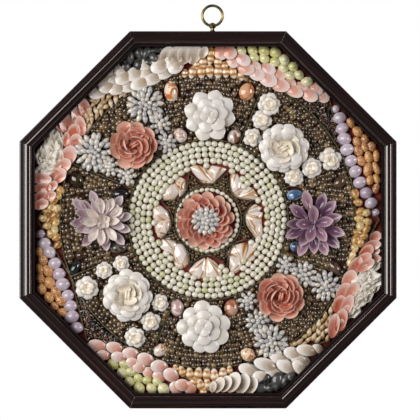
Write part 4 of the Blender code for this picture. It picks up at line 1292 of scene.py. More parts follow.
def make_long_flowers():
    """The dark flowers at the sides: long mussel petals, hollow side up, in rings."""
    outer_w = [
        ((94, 199), 0.55), ((79.5, 205), 0.6), ((86, 206.5), 0.3), ((83.5, 214), 0.2), ((79, 223), 0.1),
        ((83.5, 228), 0.35), ((88.5, 239), 0.2), ((105.5, 242), 0.15), ((118, 238), 0.6),
        ((117, 203), 0.7), ((123, 217), 0.8), ((122, 228), 0.55),
    ]
    inner_w = [(101, 206), (110, 205.5), (93, 214.5), (91, 222.5), (93.5, 235), (101.5, 237.5),
               (111.5, 234), (116, 212.5), (112, 221)]
    middle = photo(LONG_W[:2])
    parts = [foot(middle, 0.0105, FOOT_TOP)]
    spots, tones = with_tones(outer_w)
    parts.append(petals(LONG_PETAL, middle, spots, 0.0178, 0.0152, 0.0150, 10, SEAT + 0.0032, tones))
    spots = ring_of(middle, 0.0136, 11, 14, numbers(44), 0.08)
    tones = numbers(45).uniform(0.55, 1.0, len(spots))
    parts.append(petals(LONG_PETAL, middle, spots, 0.0176, 0.0146, 0.0150, 17, SEAT + 0.0038, tones))
    spots = photo(inner_w)
    tones = numbers(43).uniform(0.3, 1.0, len(spots))
    parts.append(petals(LONG_PETAL, middle, spots, 0.0172, 0.0146, 0.0140, 28, SEAT + 0.0042, tones, 1))
    spots = ring_of(middle, 0.0034, 5, 30)
    parts.append(petals(LONG_PETAL, middle, spots, 0.0132, 0.0130, 0.0120, 48, SEAT + 0.0020, 0.9, 1))
    gather("long_flower_W", parts, [LILAC_PETAL, CREAM_PETAL], ["flower_W"])
    outer_e = [
        ((307.5, 201), 0.95), ((321, 203.5), 0.1), ((331, 219), 0.55), ((334.5, 231), 0.25),
        ((322.5, 245), 0.7), ((306, 236.5), 0.5), ((303.5, 246), 0.8), ((297.5, 224), 0.35),
        ((299, 212), 0.45), ((295.5, 232.5), 0.2), ((328, 209), 0.35), ((314, 243), 0.2),
        ((331, 240), 0.1),
    ]
    inner_e = [((313.4, 215), 0.85), ((305, 224), 0.5), ((320.5, 233.5), 0.8), ((311, 233), 0.65),
               ((324, 222), 0.7)]
    middle = photo(LONG_E[:2])
    parts = [foot(middle, 0.0105, FOOT_TOP)]
    spots, tones = with_tones(outer_e)
    parts.append(petals(LONG_PETAL, middle, spots, 0.0222, 0.0176, 0.0160, 11, SEAT + 0.0034, tones))
    spots, tones = with_tones(inner_e)
    parts.append(petals(LONG_PETAL, middle, spots, 0.0206, 0.0176, 0.0150, 27, SEAT + 0.0042, tones))
    gather("long_flower_E", parts, [PURPLE_PETAL], ["flower_E"])


make_long_flowers()


# Rings of a rose, from outside: share of its radius, petals, length, width, pitch, height of their
# feet above the seat, tone, roll, twist, and the first or the second finish.
HOLLOW_UP = math.pi
SALMON_RINGS = (
    (0.71, 9, 0.0146, 0.0160, 14, 0.0034, 0.62, HOLLOW_UP, 15, 0),
    (0.54, 8, 0.0132, 0.0152, 30, 0.0036, 0.52, HOLLOW_UP, 18, 0),
    (0.38, 6, 0.0120, 0.0142, 46, 0.0030, 0.45, HOLLOW_UP, 20, 1),
    (0.22, 4, 0.0110, 0.0130, 64, 0.0020, 0.45, HOLLOW_UP, 24, 1),
)
WHITE_RINGS = (
    (0.72, 11, 0.0140, 0.0156, 4, 0.0034, 0.85, 0.0, 10, 0),
    (0.58, 9, 0.0140, 0.0158, 14, 0.0044, 0.75, 0.0, 12, 0),
    (0.37, 5, 0.0128, 0.0164, 34, 0.0044, 0.70, HOLLOW_UP, 14, 1),
    (0.20, 4, 0.0108, 0.0132, 44, 0.0044, 0.85, HOLLOW_UP, 22, 1),
)


def make_roses():
    """Four roses of overlapping petals, steeper ring by ring, drawn out along a bud with a slit."""
    plans = {
        "NW": (ROSE_NW, SALMON, SALMON, SALMON_RINGS, 0.0, 30.0, 1.0, "salmon_shell"),
        "SE": (ROSE_SE, SALMON, SALMON, SALMON_RINGS, 18.0, 80.0, -1.0, "salmon_shell"),
        "NE": (ROSE_NE, WHITE_SHELL, CREAM_SHELL, WHITE_RINGS, 10.0, 25.0, 1.0, "white_shell"),
        "SW": (ROSE_SW, WHITE_SHELL, CREAM_SHELL, WHITE_RINGS, -35.0, 85.0, -1.0, "white_shell"),
    }
    bud = ovoid_form(9, 18, point=0.3, blunt=0.2)
    for number, (point, plan) in enumerate(plans.items()):
        (x, y, size), outer, inner, rings, turned, slit, hand, slot = plan
        random = numbers(50 + number)
        middle = photo((x, y))
        reach = size / 2 * PIXEL
        parts = [foot(middle, 0.45 * reach, FOOT_TOP)]
        slit = math.radians(slit)
        along = np.array([math.cos(slit), math.sin(slit)])
        for row, (share, count, length, wide, pitch, lift, tone, roll, twist, finish) in enumerate(rings):
            spots = ring_of(middle, share * reach, count, turned + 23.0 * row, random, 0.07)
            spots = spots + random.normal(0.0, 0.0004, spots.shape)
            if row > 1:
                spots = spots + 0.22 * ((spots - middle) @ along)[:, None] * along
            tones = np.clip(random.normal(tone, 0.20, count), 0.0, 0.95)
            stepped = 0.0012 * (np.arange(count) % 2)
            base = SEAT + lift + stepped + random.uniform(0.0, 0.0004, count)
            turn = hand * (twist + random.normal(0.0, 6.0, count))
            petal = ROUND_PETAL if roll else FLAT_CUP
            tilt = pitch + random.normal(0.0, 4.0, count)
            long = length * random.uniform(0.92, 1.08, count)
            deep = 0.0084 if finish and inner is CREAM_SHELL else 0.0116
            parts.append(
                petals(petal, middle, spots, long, wide, deep, tilt, base, tones, finish, roll, turn)
            )
        if point == "NW":
            # One pale petal of this rose lies on top of its ring.
            spot = photo([(124.0, 128.5)])
            parts.append(petals(ROUND_PETAL, middle, spot, 0.0128, 0.0150, 0.0110, 9, SEAT + 0.0062, 1.0))
        for side in (-1.0, 1.0):
            start = middle + 0.0012 * side * np.array([-along[1], along[0]]) - 0.0044 * along
            place, size = (*start, SEAT + 0.0072), (0.0092, 0.0032, 0.0060)
            parts.append(lay(bud, [place], size, slit, 0.04, 0.0, 0.7, 1))
        gather(f"rose_{point}", parts, [outer, inner], [f"flower_{point}"])


make_roses()


def make_florets():
    """Small crumpled white blossoms of five or six lobes, with a knot of smaller ones inside."""
    random = numbers(61)
    for node, row in FLORETS.items():
        parts = []
        for x, y, size in row:
            middle = photo((x, y))
            reach = size / 2 * PIXEL
            first = random.uniform(0, 360)
            parts.append(foot(middle, 0.33 * reach, SEAT + 0.0008))
            lobes = int(random.integers(5, 7))
            for share, count, length, tall, pitch, lift, roll in (
                (0.54, lobes, 0.94, 0.62, 6, 0.0006, 0.0),
                (0.32, 5, 0.70, 0.56, 18, 0.0026, 0.0),
                (0.13, 4, 0.50, 0.50, 40, 0.0036, HOLLOW_UP),
            ):
                spots = ring_of(middle, share * reach, count, first, random, 0.09)
                tones = random.uniform(0.3, 0.95, count)
                finish = 1 if share < 0.5 else 0
                tilt = pitch + random.normal(0.0, 6.0, count)
                long = length * reach * random.uniform(0.9, 1.08, count)
                base = SEAT + lift + 0.0006 * (np.arange(count) % 2)
                wide, deep = 1.12 * long, tall * reach
                parts.append(
                    petals(SMALL_PETAL, middle, spots, long, wide, deep, tilt, base, tones, finish, roll)
                )
                first += 35.0
        gather(f"{node}_crumpled", parts, [WHITE_SHELL, CREAM_SHELL], [node])


make_florets()


def rice_blossom(middle, reach, random, base):
    """Rice shells that radiate from a middle: a flat outer ring, steeper inner ones and a knot."""
    outer = max(8, round(reach / PIXEL * 0.82))
    first = random.uniform(0, 360)
    parts = []
    rings = [
        (0.70, outer, 0.66, 6, 0.0010),
        (0.36, max(5, round(outer * 0.55)), 0.48, 28, 0.0022),
        (0.10, 2, 0.36, 50, 0.0030),
    ]
    if outer > 12:
        rings = [
            (0.75, outer, 0.54, 5, 0.0010),
            (0.49, round(outer * 0.68), 0.46, 16, 0.0024),
            (0.25, round(outer * 0.42), 0.34, 42, 0.0030),
            (0.08, 2, 0.28, 60, 0.0036),
        ]
    for share, count, length, pitch, lift in rings:
        spots = ring_of(middle, share * reach, count, first, random, 0.07)
        long = length * reach * random.uniform(0.9, 1.1, count)
        wide = np.clip(0.60 * long, 0.0046, 0.0056)
        tones = random.uniform(0.0, 1.0, count)
        tilt = pitch + random.normal(0.0, 4.0, count)
        twist = random.normal(0.0, 6.0, count)
        feet = base + lift
        parts.append(
            petals(RICE_GRAIN, middle, spots, long, wide, wide, tilt, feet, tones, roll=0.0, twist=twist)
        )
        first += 180.0 / count
    return parts


def make_daisies():
    """Sprays of rice-shell daisies, three to a spray."""
    random = numbers(71)
    for node, row in DAISIES.items():
        parts = []
        for x, y, size in row:
            middle = photo((x, y))
            reach = size / 2 * PIXEL
            parts.append(foot(middle, 0.3 * reach, SEAT + 0.0006))
            parts += rice_blossom(middle, reach, random, SEAT)
        gather(f"{node}_rice", parts, [RICE], [node])


make_daisies()


def make_rosette():
    """The salmon pinwheel in the middle, with its tuft of rice shells."""
    random = numbers(81)
    middle = photo((205.5, 220.8))
    parts = [foot(middle, 0.0150, FLOOR + 0.0030)]
    rings = (
        (0.0216, 14, 0.0136, 0.0124, 16, 0.0036, 0.72, -40),
        (0.0170, 12, 0.0132, 0.0122, 28, 0.0044, 0.56, -46),
        (0.0130, 10, 0.0112, 0.0106, 40, 0.0044, 0.28, -46),
    )
    for row, (radius, count, length, wide, pitch, lift, tone, twist) in enumerate(rings):
        spots = ring_of(middle, radius, count, 7.0, random, 0.06)
        tones = np.clip(random.normal(tone, 0.28, count), 0.05, 0.95)
        # Two petals of the outer ring are palest, and two of each inner ring reddest.
        single, single_tone = ([(203, 204), (220, 210)], 0.0) if row else ([(198, 243), (216, 196)], 0.95)
        for spot in photo(single):
            tones[np.hypot(*(spots - spot).T).argmin()] = single_tone
        turned = twist + random.normal(0.0, 7.0, count)
        tilt = pitch + random.normal(0.0, 4.0, count)
        base = FLOOR + lift
        parts.append(
            petals(ROUND_PETAL, middle, spots, length, wide, 0.0090, tilt, base, tones, twist=turned)
        )
    gather("salmon_pinwheel", parts, [SALMON], ["rosette"])
    tuft = []
    wide = 0.0052
    for radius, count, length, pitch, lift in (
        (0.0104, 14, 0.0076, 14, 0.0016),
        (0.0064, 9, 0.0068, 32, 0.0020),
        (0.0026, 5, 0.0058, 56, 0.0022),
    ):
        spots = ring_of(middle, radius, count, 4.0, random, 0.06)
        tones = random.uniform(0.0, 0.9, count)
        base = FLOOR + 0.0056 + lift
        tuft.append(petals(RICE_GRAIN, middle, spots, length, wide, wide, pitch, base, tones, roll=0.0))
    gather("rice_tuft", tuft, [RICE], ["rosette_centre"])


make_rosette()


def scatter(
    form, rows, base, tall, random, heading=(0.0, 0.0), pitch=0.0, roll=0.0, finish=0, tones=(0.0, 1.0),
    stray=8.0, grow=1.12,
):
    """Large shells at rows of (x, y, length, width) in pixels.

    A fifth number of a row is its heading in degrees. Where there is none, the headings go evenly
    from the first to the second of heading. pitch and stray are in degrees too.
    """
    rows = np.asarray(rows, float)
    count = len(rows)
    headed = rows[:, 4] if rows.shape[1] > 4 else np.linspace(heading[0], heading[1], count)
    turn = np.radians(headed + random.normal(0.0, stray, count))
    long = grow * rows[:, 2] * PIXEL
    wide = grow * rows[:, 3] * PIXEL
    tip = np.broadcast_to(np.radians(pitch), (count,))
    start = photo(rows[:, :2]) - polar(0.5 * long * np.cos(tip), turn)
    sizes = np.stack([long, wide, np.broadcast_to(tall, (count,))], axis=1)
    lift = base + random.uniform(-0.0003, 0.0003, count)
    return lay(form, high(start, lift), sizes, turn, tip, roll, random.uniform(*tones, count), finish)


# Forms of the large shells: flat clams and tellins, domed mussels, nerites, granular snails,
# periwinkles and cone tips.
FLAT_VALVE = valve_form(11, 24, wide=1.06, deep=1.0, hinge=0.15, thick=0.30, peak=0.40, full=0.95)
LUMP_VALVE = valve_form(
    11, 22, wide=1.0, deep=1.0, tip=0.08, hinge=0.28, thick=0.16, peak=0.45, full=0.65
)
NERITE = turban_form(9, 16, spire=0.10, step=0.14, groove=0.10)
GRAINY_OVAL = ovoid_form(8, 14, point=0.15)
BANDED_OVOID = ovoid_form(9, 14, point=0.30, blunt=0.05)
STRAW_CONE = ovoid_form(7, 10, point=0.55)


def knobbly_form():
    """An egg drawn in to a tip, whose girth swells into knobs.

    They are the cosine of the angle round it times the sine of the length along it.
    """

    def shape(s, t):
        angle = math.pi * s
        x = 0.5 - 0.5 * np.cos(angle)
        knob = np.cos(5.0 * t + 3.0 * x) * np.sin(2.6 * math.pi * x)
        girth = 0.5 * np.sin(angle) ** 0.9 * (1.0 - 0.35 * x**2) * (1.0 + 0.07 * knob)
        return (
            # The third own number marks the knobs' tops, which the golden finish paints pale as a painted
            # highlight.
            np.stack([x, -girth * np.sin(t), -girth * np.cos(t)], axis=1),
            np.stack([x, t / TURN, np.clip(1.5 * knob - 0.2, 0.0, 1.0)], axis=1),
        )

    return skin(10, 22, shape)


WHELK = knobbly_form()


def frilled_form(number):
    """A frilled oyster valve: an egg-shaped plate of two ruffled layers.

    Each layer rises to a thin edge that drops away, and a folded sine of both axes buckles it.
    """

    def shape(s, t):
        share = np.sin(math.pi * s)
        torn = 1.0 + 0.07 * np.sin(4 * t + number) + 0.05 * np.sin(9 * t + 2.0 * number)
        x = 0.45 + share * torn * (0.5 - 0.5 * np.cos(t) - 0.45)
        y = -share * torn * 0.5 * np.sin(t)
        ruffle = 0.26 * np.sin(3 * t + number) + 0.14 * np.sin(8 * t + 2.0 * number)
        layer = (1.7 * share + ruffle + 0.2) % 1.0
        buckle = 1.0 - np.abs(np.sin(5.0 * x + 1.6 * np.sin(5.0 * y + number) + number))
        ridge = 0.50 * layer**1.3 + 0.50 * buckle
        fall = np.clip(1.0 - share**2, 0.0, 1.0) ** 0.5
        under = s > 0.5 + TINY
        z = np.where(under, 0.0, 0.15 + 0.30 * fall + 0.75 * ridge)
        # Painted shade: the third own number is how far a place lies below its ridge, which the frilled
        # finish paints olive-grey.
        hollow = np.clip(3.4 * (0.36 - ridge), 0.0, 1.0)
        return (
            np.stack([x, y, z], axis=1),
            np.stack([0.6 * share, t / TURN, np.where(under, 0.0, hollow)], axis=1),
        )

    return skin(49, 64, shape)


def turban_spots(rows, base, random, heading, tall=0.8, finish=0):
    """Round shells at rows of (x, y, size) in pixels, a little longer along a heading in degrees."""
    rows = np.asarray(rows, float)
    count = len(rows)
    across = rows[:, 2] * PIXEL
    sizes = np.stack([across * random.uniform(1.10, 1.26, count), 0.96 * across, tall * across], axis=1)
    turn = np.radians(heading) + random.normal(0.0, 0.25, count)
    tones = random.uniform(0.1, 1.0, count)
    return lay(NERITE, high(photo(rows[:, :2]), base), sizes, turn, 0.25, 0.0, tones, finish)


def make_pink_corners():
    """Rows of pink tellins that overlap like tiles, and yellow-green nerites against the frame."""
    plans = {
        2: (
            [(220.5, 52.4, 13, 11), (230, 52.4, 12, 11), (233, 61, 12, 10), (243, 59.2, 14, 10),
             (254.8, 65.5, 12, 8), (246, 68.6, 15, 10), (267.8, 69, 14, 11), (256.5, 73.5, 15, 11),
             (279, 75, 12, 11), (267.8, 79, 17, 12), (289.6, 82, 12, 8), (280.2, 85, 17, 11),
             (301.4, 86.5, 13, 8), (293.9, 90.6, 17, 10), (316, 89, 13, 11), (309.5, 94.4, 16, 11),
             (322.5, 96.5, 13, 9)],
            (-25.0, -25.0),
            [(242.3, 50.5, 10), (253.5, 50.5, 10), (265.3, 50.5, 11), (276.5, 52.4, 11),
             (254.8, 57.4, 10), (265.3, 58.6, 10), (275.9, 61.7, 10), (285.2, 60, 11), (284.6, 68, 10),
             (293.9, 66.7, 10), (290.8, 75.4, 10), (300, 74.8, 10), (308.2, 81.4, 11)],
        ),
        6: (
            [(189.8, 388, 12, 10), (183, 385.6, 14, 10), (176, 388, 12, 10), (171, 375.5, 14, 11),
             (159.3, 377, 12, 9), (159.3, 367, 15, 11), (148.7, 373, 11, 9), (139.4, 368, 12, 9),
             (145.6, 360, 15, 11), (132.6, 363.5, 12, 9), (130.7, 354.5, 15, 11), (118.9, 357.4, 14, 9),
             (115, 348.5, 16, 10), (103.3, 355.5, 12, 8), (97.7, 347, 18, 11)],
            (155.0, 165.0),
            [(112, 364.3, 11), (123.2, 364.3, 10), (121.4, 373, 11), (130, 372.3, 10), (128.8, 381.7, 10),
             (137.5, 378.6, 10), (146.2, 381, 9), (156.2, 381.7, 10), (138.2, 388, 11),
             (150.6, 388.5, 10), (162.4, 389, 12)],
        ),
    }
    for number, (pinks, heading, nerites) in plans.items():
        random = numbers(90 + number)
        base = FLOOR + 0.0030 + 0.0016 * (np.arange(len(pinks)) % 2)
        parts = [
            scatter(
                FLAT_VALVE, pinks, base, 0.0022, random, heading, 11.0, -0.12, tones=(0.1, 1.0), grow=1.22
            ),
            turban_spots(nerites, FLOOR, random, heading[0], tall=0.72, finish=1),
        ]
        finishes = [PINK_SHELL, GREEN_NERITE]
        gather(f"pink_corner_{number}", parts, finishes, [f"corner_field_{number}"])


make_pink_corners()


def make_purple_corners():
    """A row of lilac nerites along the chevron, and orange granular snails against the frame."""
    plans = {
        1: (
            [(336.2, 108.4, 8), (340.6, 117.1, 12), (343, 127.6, 12), (345.5, 138.2, 13),
             (348, 148.8, 12.5), (351.8, 160, 12), (356.1, 170.5, 12.5), (361.1, 181.7, 12),
             (367.3, 192.3, 12), (372.3, 202.3, 11.5), (376.6, 212.2, 8)],
            [(351, 122.7, 9.5, 7), (358, 131.4, 10.5, 8.5), (357.4, 141.3, 9, 8),
             (365.4, 138.8, 8.5, 7.5), (358.6, 150.6, 10, 8), (365.4, 146.9, 9, 7.5),
             (372.3, 146.3, 9, 8), (361.7, 160.6, 10, 8), (369.2, 156.9, 11, 8), (376.8, 155.6, 11, 6.5),
             (368.6, 169.3, 12.5, 9), (376.8, 168, 12, 6.5), (370.4, 179.9, 9, 7.5),
             (377.2, 178.6, 9, 6.5), (376.8, 188, 10, 6.5)],
            (115.0, 95.0),
        ),
        5: (
            [(40.5, 233.7, 9), (44.3, 243, 12), (49.9, 252.3, 12.5), (54.8, 262.9, 12.5),
             (59.2, 273.5, 12.5), (62.9, 284, 13.5), (67.9, 295.2, 12.5), (71, 305.8, 12),
             (72.2, 316.4, 13), (77.2, 327.6, 12)],
            [(38.7, 251.7, 9, 7), (42.4, 259.8, 10, 9), (39.3, 269.1, 10, 7), (47.4, 271, 12, 9),
             (39.9, 278.4, 9.5, 8), (49.2, 282.8, 11, 10), (41.1, 289, 10, 9), (55.4, 292.1, 11, 9),
             (48.6, 297.7, 10, 9), (60.4, 300.8, 11, 9), (54.2, 306.4, 8, 7), (61.7, 312.6, 9, 8)],
            (110.0, 130.0),
        ),
    }
    for number, (nerites, ovals, heading) in plans.items():
        random = numbers(90 + number)
        parts = [
            turban_spots(nerites, FLOOR, random, 20.0, tall=0.66, finish=1),
            scatter(
                GRAINY_OVAL, ovals, FLOOR + 0.0036, 0.0076, random, heading, stray=14.0, grow=1.18
            ),
        ]
        finishes = [ORANGE_OVAL, PURPLE_NERITE]
        gather(f"purple_corner_{number}", parts, finishes, [f"corner_field_{number}"])


make_purple_corners()


def make_clam_corners():
    """White clams in overlapping rows and a standing fan, with slate mussels in the frame's corner."""
    plans = {
        3: (
            [(98, 92, 16, 10, 20), (107.5, 86.5, 15, 10, 25), (118, 88.5, 16, 9, 10),
             (129, 85.5, 16, 10, 15), (141, 83, 18, 10, 20), (153, 78, 17, 10, 28), (165, 72, 16, 10, 32),
             (176, 66.5, 14, 10, 35), (104, 79, 15, 11, 40), (114, 77, 16, 11, 30), (124, 77, 16, 11, 25),
             (135, 73.5, 17, 11, 20), (147, 71.5, 16, 11, 25), (160, 66, 16, 11, 28),
             (172, 61.5, 14, 11, 30), (112, 69.5, 13, 9, 35), (121, 69, 13, 9, 30), (146, 64, 14, 9, 20),
             (158, 60, 14, 9, 20)],
            [(203.5, 52.2, 10, 7, 65), (194, 54, 16, 12, 70), (185, 54.5, 16, 12, 68),
             (176, 55, 16, 12, 64), (167.5, 55.5, 15, 12, 60)],
            [(139, 52.6, 13, 9.5, 110), (129.3, 57, 12, 9, 100), (124.8, 66.4, 12, 10.5, 95),
             (138.7, 65, 11, 10, 75), (146, 52.8, 11, 7.5, 60), (153.8, 58, 10, 8, 120),
             (148, 62.4, 9, 7.5, 140), (156, 49.8, 15, 5, 5), (163, 48.8, 12, 4.5, 0)],
            0.35,
        ),
        7: (
            [(318, 349, 10, 7, 165), (307, 350.5, 17, 9, 165), (294, 354, 17, 10, 165),
             (281, 358.5, 18, 10, 170), (266, 365, 20, 10, 170), (250.5, 371, 20, 10, 165),
             (301, 360.5, 19, 11, 150), (300.5, 368.5, 16, 9, 140), (287, 367, 18, 10, 150),
             (274, 371.5, 17, 10, 160), (262, 377, 15, 9, 165)],
            [(213, 387, 9, 6, 70), (219, 385, 13, 9, 65), (225.5, 384.2, 14, 10, 60),
             (233, 382.5, 17, 12, 62), (242.5, 384, 17, 12, 66), (251, 385.5, 15, 11, 66)],
            [(264.4, 379.6, 12, 9.5, 30), (259, 388.2, 14, 9, 10), (277.3, 382.2, 16, 11, 80),
             (285.4, 381.5, 13, 9, 70), (290.5, 377.3, 10, 8, 60), (270.5, 388, 11, 8.5, 20)],
            -0.55,
        ),
    }
    for number, (clams, fan, mussels, lean) in plans.items():
        random = numbers(90 + number)
        base = FLOOR + 0.0006 + 0.0018 * ((np.arange(len(clams)) * 2) % 3) / 2
        clams = np.asarray(clams, float) + (0.0, 0.0, 0.0, 0.0, 180.0 if number == 3 else 0.0)
        parts = [
            scatter(
                FLAT_VALVE, clams, base + 0.0034, 0.0025, random, pitch=10.0, roll=0.10, tones=(0.2, 1.0),
                stray=5.0, grow=1.28,
            ),
            scatter(
                FLAT_VALVE, fan, FLOOR + 0.0074, 0.0030, random, pitch=8.0, roll=HOLLOW_UP + lean, finish=2,
                stray=3.0, grow=1.30,
            ),
            scatter(
                LUMP_VALVE, mussels, FLOOR + 0.0048, 0.0044, random, pitch=6.0, roll=0.1, finish=1,
                stray=10.0, grow=1.28,
            ),
        ]
        finishes = [CLAM, MUSSEL, FAN_CLAM]
        gather(f"clam_corner_{number}", parts, finishes, [f"corner_field_{number}"])


make_clam_corners()


def make_frilled_corners():
    """Salmon clams, hollow side up and a little tipped, with frilled oyster valves against the frame.

    The clams' rows are x, y, length and width in pixels, heading in degrees, and tone.
    """
    plans = {
        4: (
            [(84, 107.5, 15, 9, 100, 0.45), (80.6, 125.5, 16, 8, 100, 0.75),
             (78.5, 115, 14, 11, 120, 0.8), (73.5, 132.5, 14, 10, 75, 0.05),
             (67.5, 124, 17, 13, 105, 0.6), (60.5, 126, 12, 7, 130, 0.35), (75.5, 143, 15, 11, 80, 0.7),
             (66, 139.5, 12, 5, 85, 0.2), (68, 156, 18, 12, 65, 0.9), (62.6, 166, 15, 10, 45, 0.8),
             (56, 174.5, 17, 10, 25, 0.85), (60, 178, 11, 6, 40, 0.7), (41.3, 179, 16, 9, 0, 0.9),
             (51.5, 186.5, 11, 7, 40, 0.3), (42, 188, 15, 8, 5, 0.6), (49.6, 196.5, 11, 7, 35, 0.7),
             (41, 197, 13, 9, 15, 0.65), (40.5, 204.5, 13, 8, 20, 0.6)],
            [(56.5, 134, 14, 9, 110), (53.5, 147, 27, 14, 100), (43.5, 156, 17, 12, 85),
             (47, 168.5, 19, 10, 20)],
        ),
        8: (
            [(375.5, 237.5, 11, 8, 60, 0.5), (372.5, 245.5, 14, 8, 20, 0.6), (374.5, 252, 10, 6, 20, 0.4),
             (366.5, 252.5, 15, 9, 45, 0.05), (375, 259, 10, 7, 10, 0.4), (363, 260.5, 17, 9, 35, 0.45),
             (355.5, 267, 18, 9, 60, 0.6), (366, 265.5, 16, 8, 30, 0.7), (349.5, 280, 17, 11, 60, 0.85),
             (352.5, 291, 16, 9, 55, 0.8), (344, 292.5, 17, 11, 60, 0.85), (347, 306.5, 20, 9, 65, 0.7),
             (339.7, 304.5, 15, 10, 60, 0.08), (341, 320.5, 19, 10, 75, 0.02),
             (345.5, 314, 15, 8, 70, 0.75), (334, 326, 20, 9, 78, 0.55), (340.5, 329, 16, 8, 80, 0.3)],
            [(369.5, 270.8, 18, 9, 22), (368.5, 281, 24, 12, 15), (372.5, 289, 15, 8, 50),
             (364, 295.5, 17, 12, 60), (353.8, 307.5, 20, 11, 60), (358.5, 295, 12, 8, 50)],
        ),
    }
    for number, (clams, plates) in plans.items():
        random = numbers(90 + number)
        clams = np.array(clams)
        base = FLOOR + 0.0028 + 0.0018 * (np.arange(len(clams)) % 2)
        salmon = scatter(
            FLAT_VALVE, clams[:, :5], base + 0.0024, 0.0026, random, pitch=8.0, roll=HOLLOW_UP + 0.22,
            stray=4.0, grow=1.28,
        )
        tones = np.repeat(clams[:, 5], len(FLAT_VALVE[0]))
        parts = [(*salmon[:4], tones, 0)]
        for step, plate in enumerate(plates):
            base = FLOOR + 0.0012 + 0.0009 * (step % 2)
            form = frilled_form(1.7 * step + number)
            parts.append(scatter(form, [plate], base, 0.0056, random, pitch=4.0, finish=1, grow=1.42))
        finishes = [CORAL_CLAM, FRILLED]
        gather(
            f"frilled_corner_{number}", parts, finishes, [f"corner_field_{number}"]
        )


make_frilled_corners()


def make_banded_caps():
    """Banded periwinkles in two rows and a last one in the point, white tips towards the middle."""
    plans = {
        "N": (
            [(184.8, 73, 7.5, 6.5), (192.4, 72, 11, 8), (201.3, 71.6, 11.5, 8.5),
             (209.8, 70.6, 11.5, 8.5), (218.3, 71.6, 11.5, 8.5), (225.9, 72, 9.5, 7.5),
             (233.2, 72, 11, 8), (241.3, 75, 9.5, 7), (196.4, 64.5, 9, 7), (203, 62, 10.5, 8),
             (218, 62, 10, 8), (225, 66, 8.5, 7), (210.4, 59, 9, 7), (210.6, 53.4, 11.5, 9)],
            270.0,
        ),
        "S": (
            [(175.4, 369, 7.5, 6.5), (181.9, 371.8, 10, 7.5), (189.8, 374, 11, 8),
             (198.2, 374, 11.5, 8.5), (206.7, 374.4, 11.5, 8.5), (214.6, 376, 12.5, 8.5),
             (223, 373.5, 10, 8), (229.8, 370.5, 8, 6.5), (193.8, 381.5, 9.5, 7.5), (200.4, 385, 11, 8),
             (207.8, 384.8, 11, 8), (215.5, 384, 9, 7), (203.5, 391.6, 7, 7)],
            90.0,
        ),
    }
    for point, (ovoids, heading) in plans.items():
        random = numbers(101 if point == "N" else 102)
        part = scatter(
            BANDED_OVOID, ovoids, FLOOR + 0.0034, 0.0068, random, (heading, heading), grow=1.18
        )
        gather(f"banded_cap_{point}", [part], [BANDED], [f"side_cap_{point}"])


make_banded_caps()


def make_golden_caps():
    """Golden dog whelks heaped in the two side points."""
    plans = {
        "W": [(60, 190), (57.5, 195.5), (53, 201), (50.3, 207), (56.2, 208.5), (46.3, 212), (54.5, 215.5),
              (42.7, 218.5), (49, 220), (55.3, 222.5), (46.8, 226), (54.3, 230), (50.3, 234), (56, 237.5),
              (57.5, 245)],
        "E": [(355.8, 193.8), (358.5, 202.5), (361, 211.8), (359.5, 219), (360.7, 226), (357.7, 233),
              (355.8, 240), (355.4, 248), (353.3, 255.5), (351.4, 262), (366.9, 213), (368, 221.5),
              (367, 229), (364.5, 236), (361.5, 243)],
    }
    for point, spots in plans.items():
        random = numbers(103 if point == "W" else 104)
        rows = [(x, y, random.uniform(8.2, 9.6), random.uniform(7.0, 8.0)) for x, y in spots]
        part = scatter(
            WHELK, rows, FLOOR + 0.0032, 0.0068, random, (200.0, 200.0), pitch=12.0, stray=70.0, grow=1.17
        )
        gather(f"golden_cap_{point}", [part], [GOLDEN], [f"side_cap_{point}"])


make_golden_caps()


APEX = SIGHT - 0.0013  # how far from the middle a chevron's point is
CHEVRON_SLOPE = math.atan2(
    APEX - OUTER_CIRCLE * math.cos(HALF_SIDE), OUTER_CIRCLE * math.sin(HALF_SIDE)
)
CHEVRON_DISTANCE = APEX * math.cos(CHEVRON_SLOPE)  # of its two strips from the middle, squarely


def in_cap(radius, angle, margin):
    """Which places lie between the outer circle and their side's chevron, clear of both by a margin."""
    off = off_axis(angle)
    reach = np.cos(off) * math.cos(CHEVRON_SLOPE) + np.abs(np.sin(off)) * math.sin(CHEVRON_SLOPE)
    clear = CARD_HALF + margin
    return (radius > OUTER_CIRCLE + clear) & (radius * reach < CHEVRON_DISTANCE - clear)


def make_straw_caps():
    """Straw-coloured cone tips, laid like grain along the circle."""
    for point, seed in (("NW", 105), ("SE", 106)):
        random = numbers(seed)
        radius, angle = rows_round(OUTER_CIRCLE + 0.0032, SIGHT, 0.0048, 0.0058, random, 0.0007)
        mine = in_sector(angle, SECTORS[point]) & in_cap(radius, angle, 0.0016)
        radius, angle = radius[mine], angle[mine]
        count = len(radius)
        turn = angle + math.pi / 2 + random.normal(0.45, 0.45, count)
        long = random.uniform(0.0080, 0.0102, count)
        start = polar(radius, angle) - polar(0.5 * long, turn)
        wide = random.uniform(0.0046, 0.0058, count)
        sizes = np.stack([long, wide, 0.9 * wide], axis=1)
        tilt = random.uniform(0.05, 0.45, count)
        tones = random.uniform(0.0, 1.0, count)
        part = lay(STRAW_CONE, high(start, FLOOR + 0.0030), sizes, turn, tilt, 0.0, tones)
        gather(f"straw_cap_{point}", [part], [STRAW], [f"side_cap_{point}"])


make_straw_caps()


CRUMBS_TRIED, CRUMBS_KEPT = 3600, 620
BED_STEPS = 12


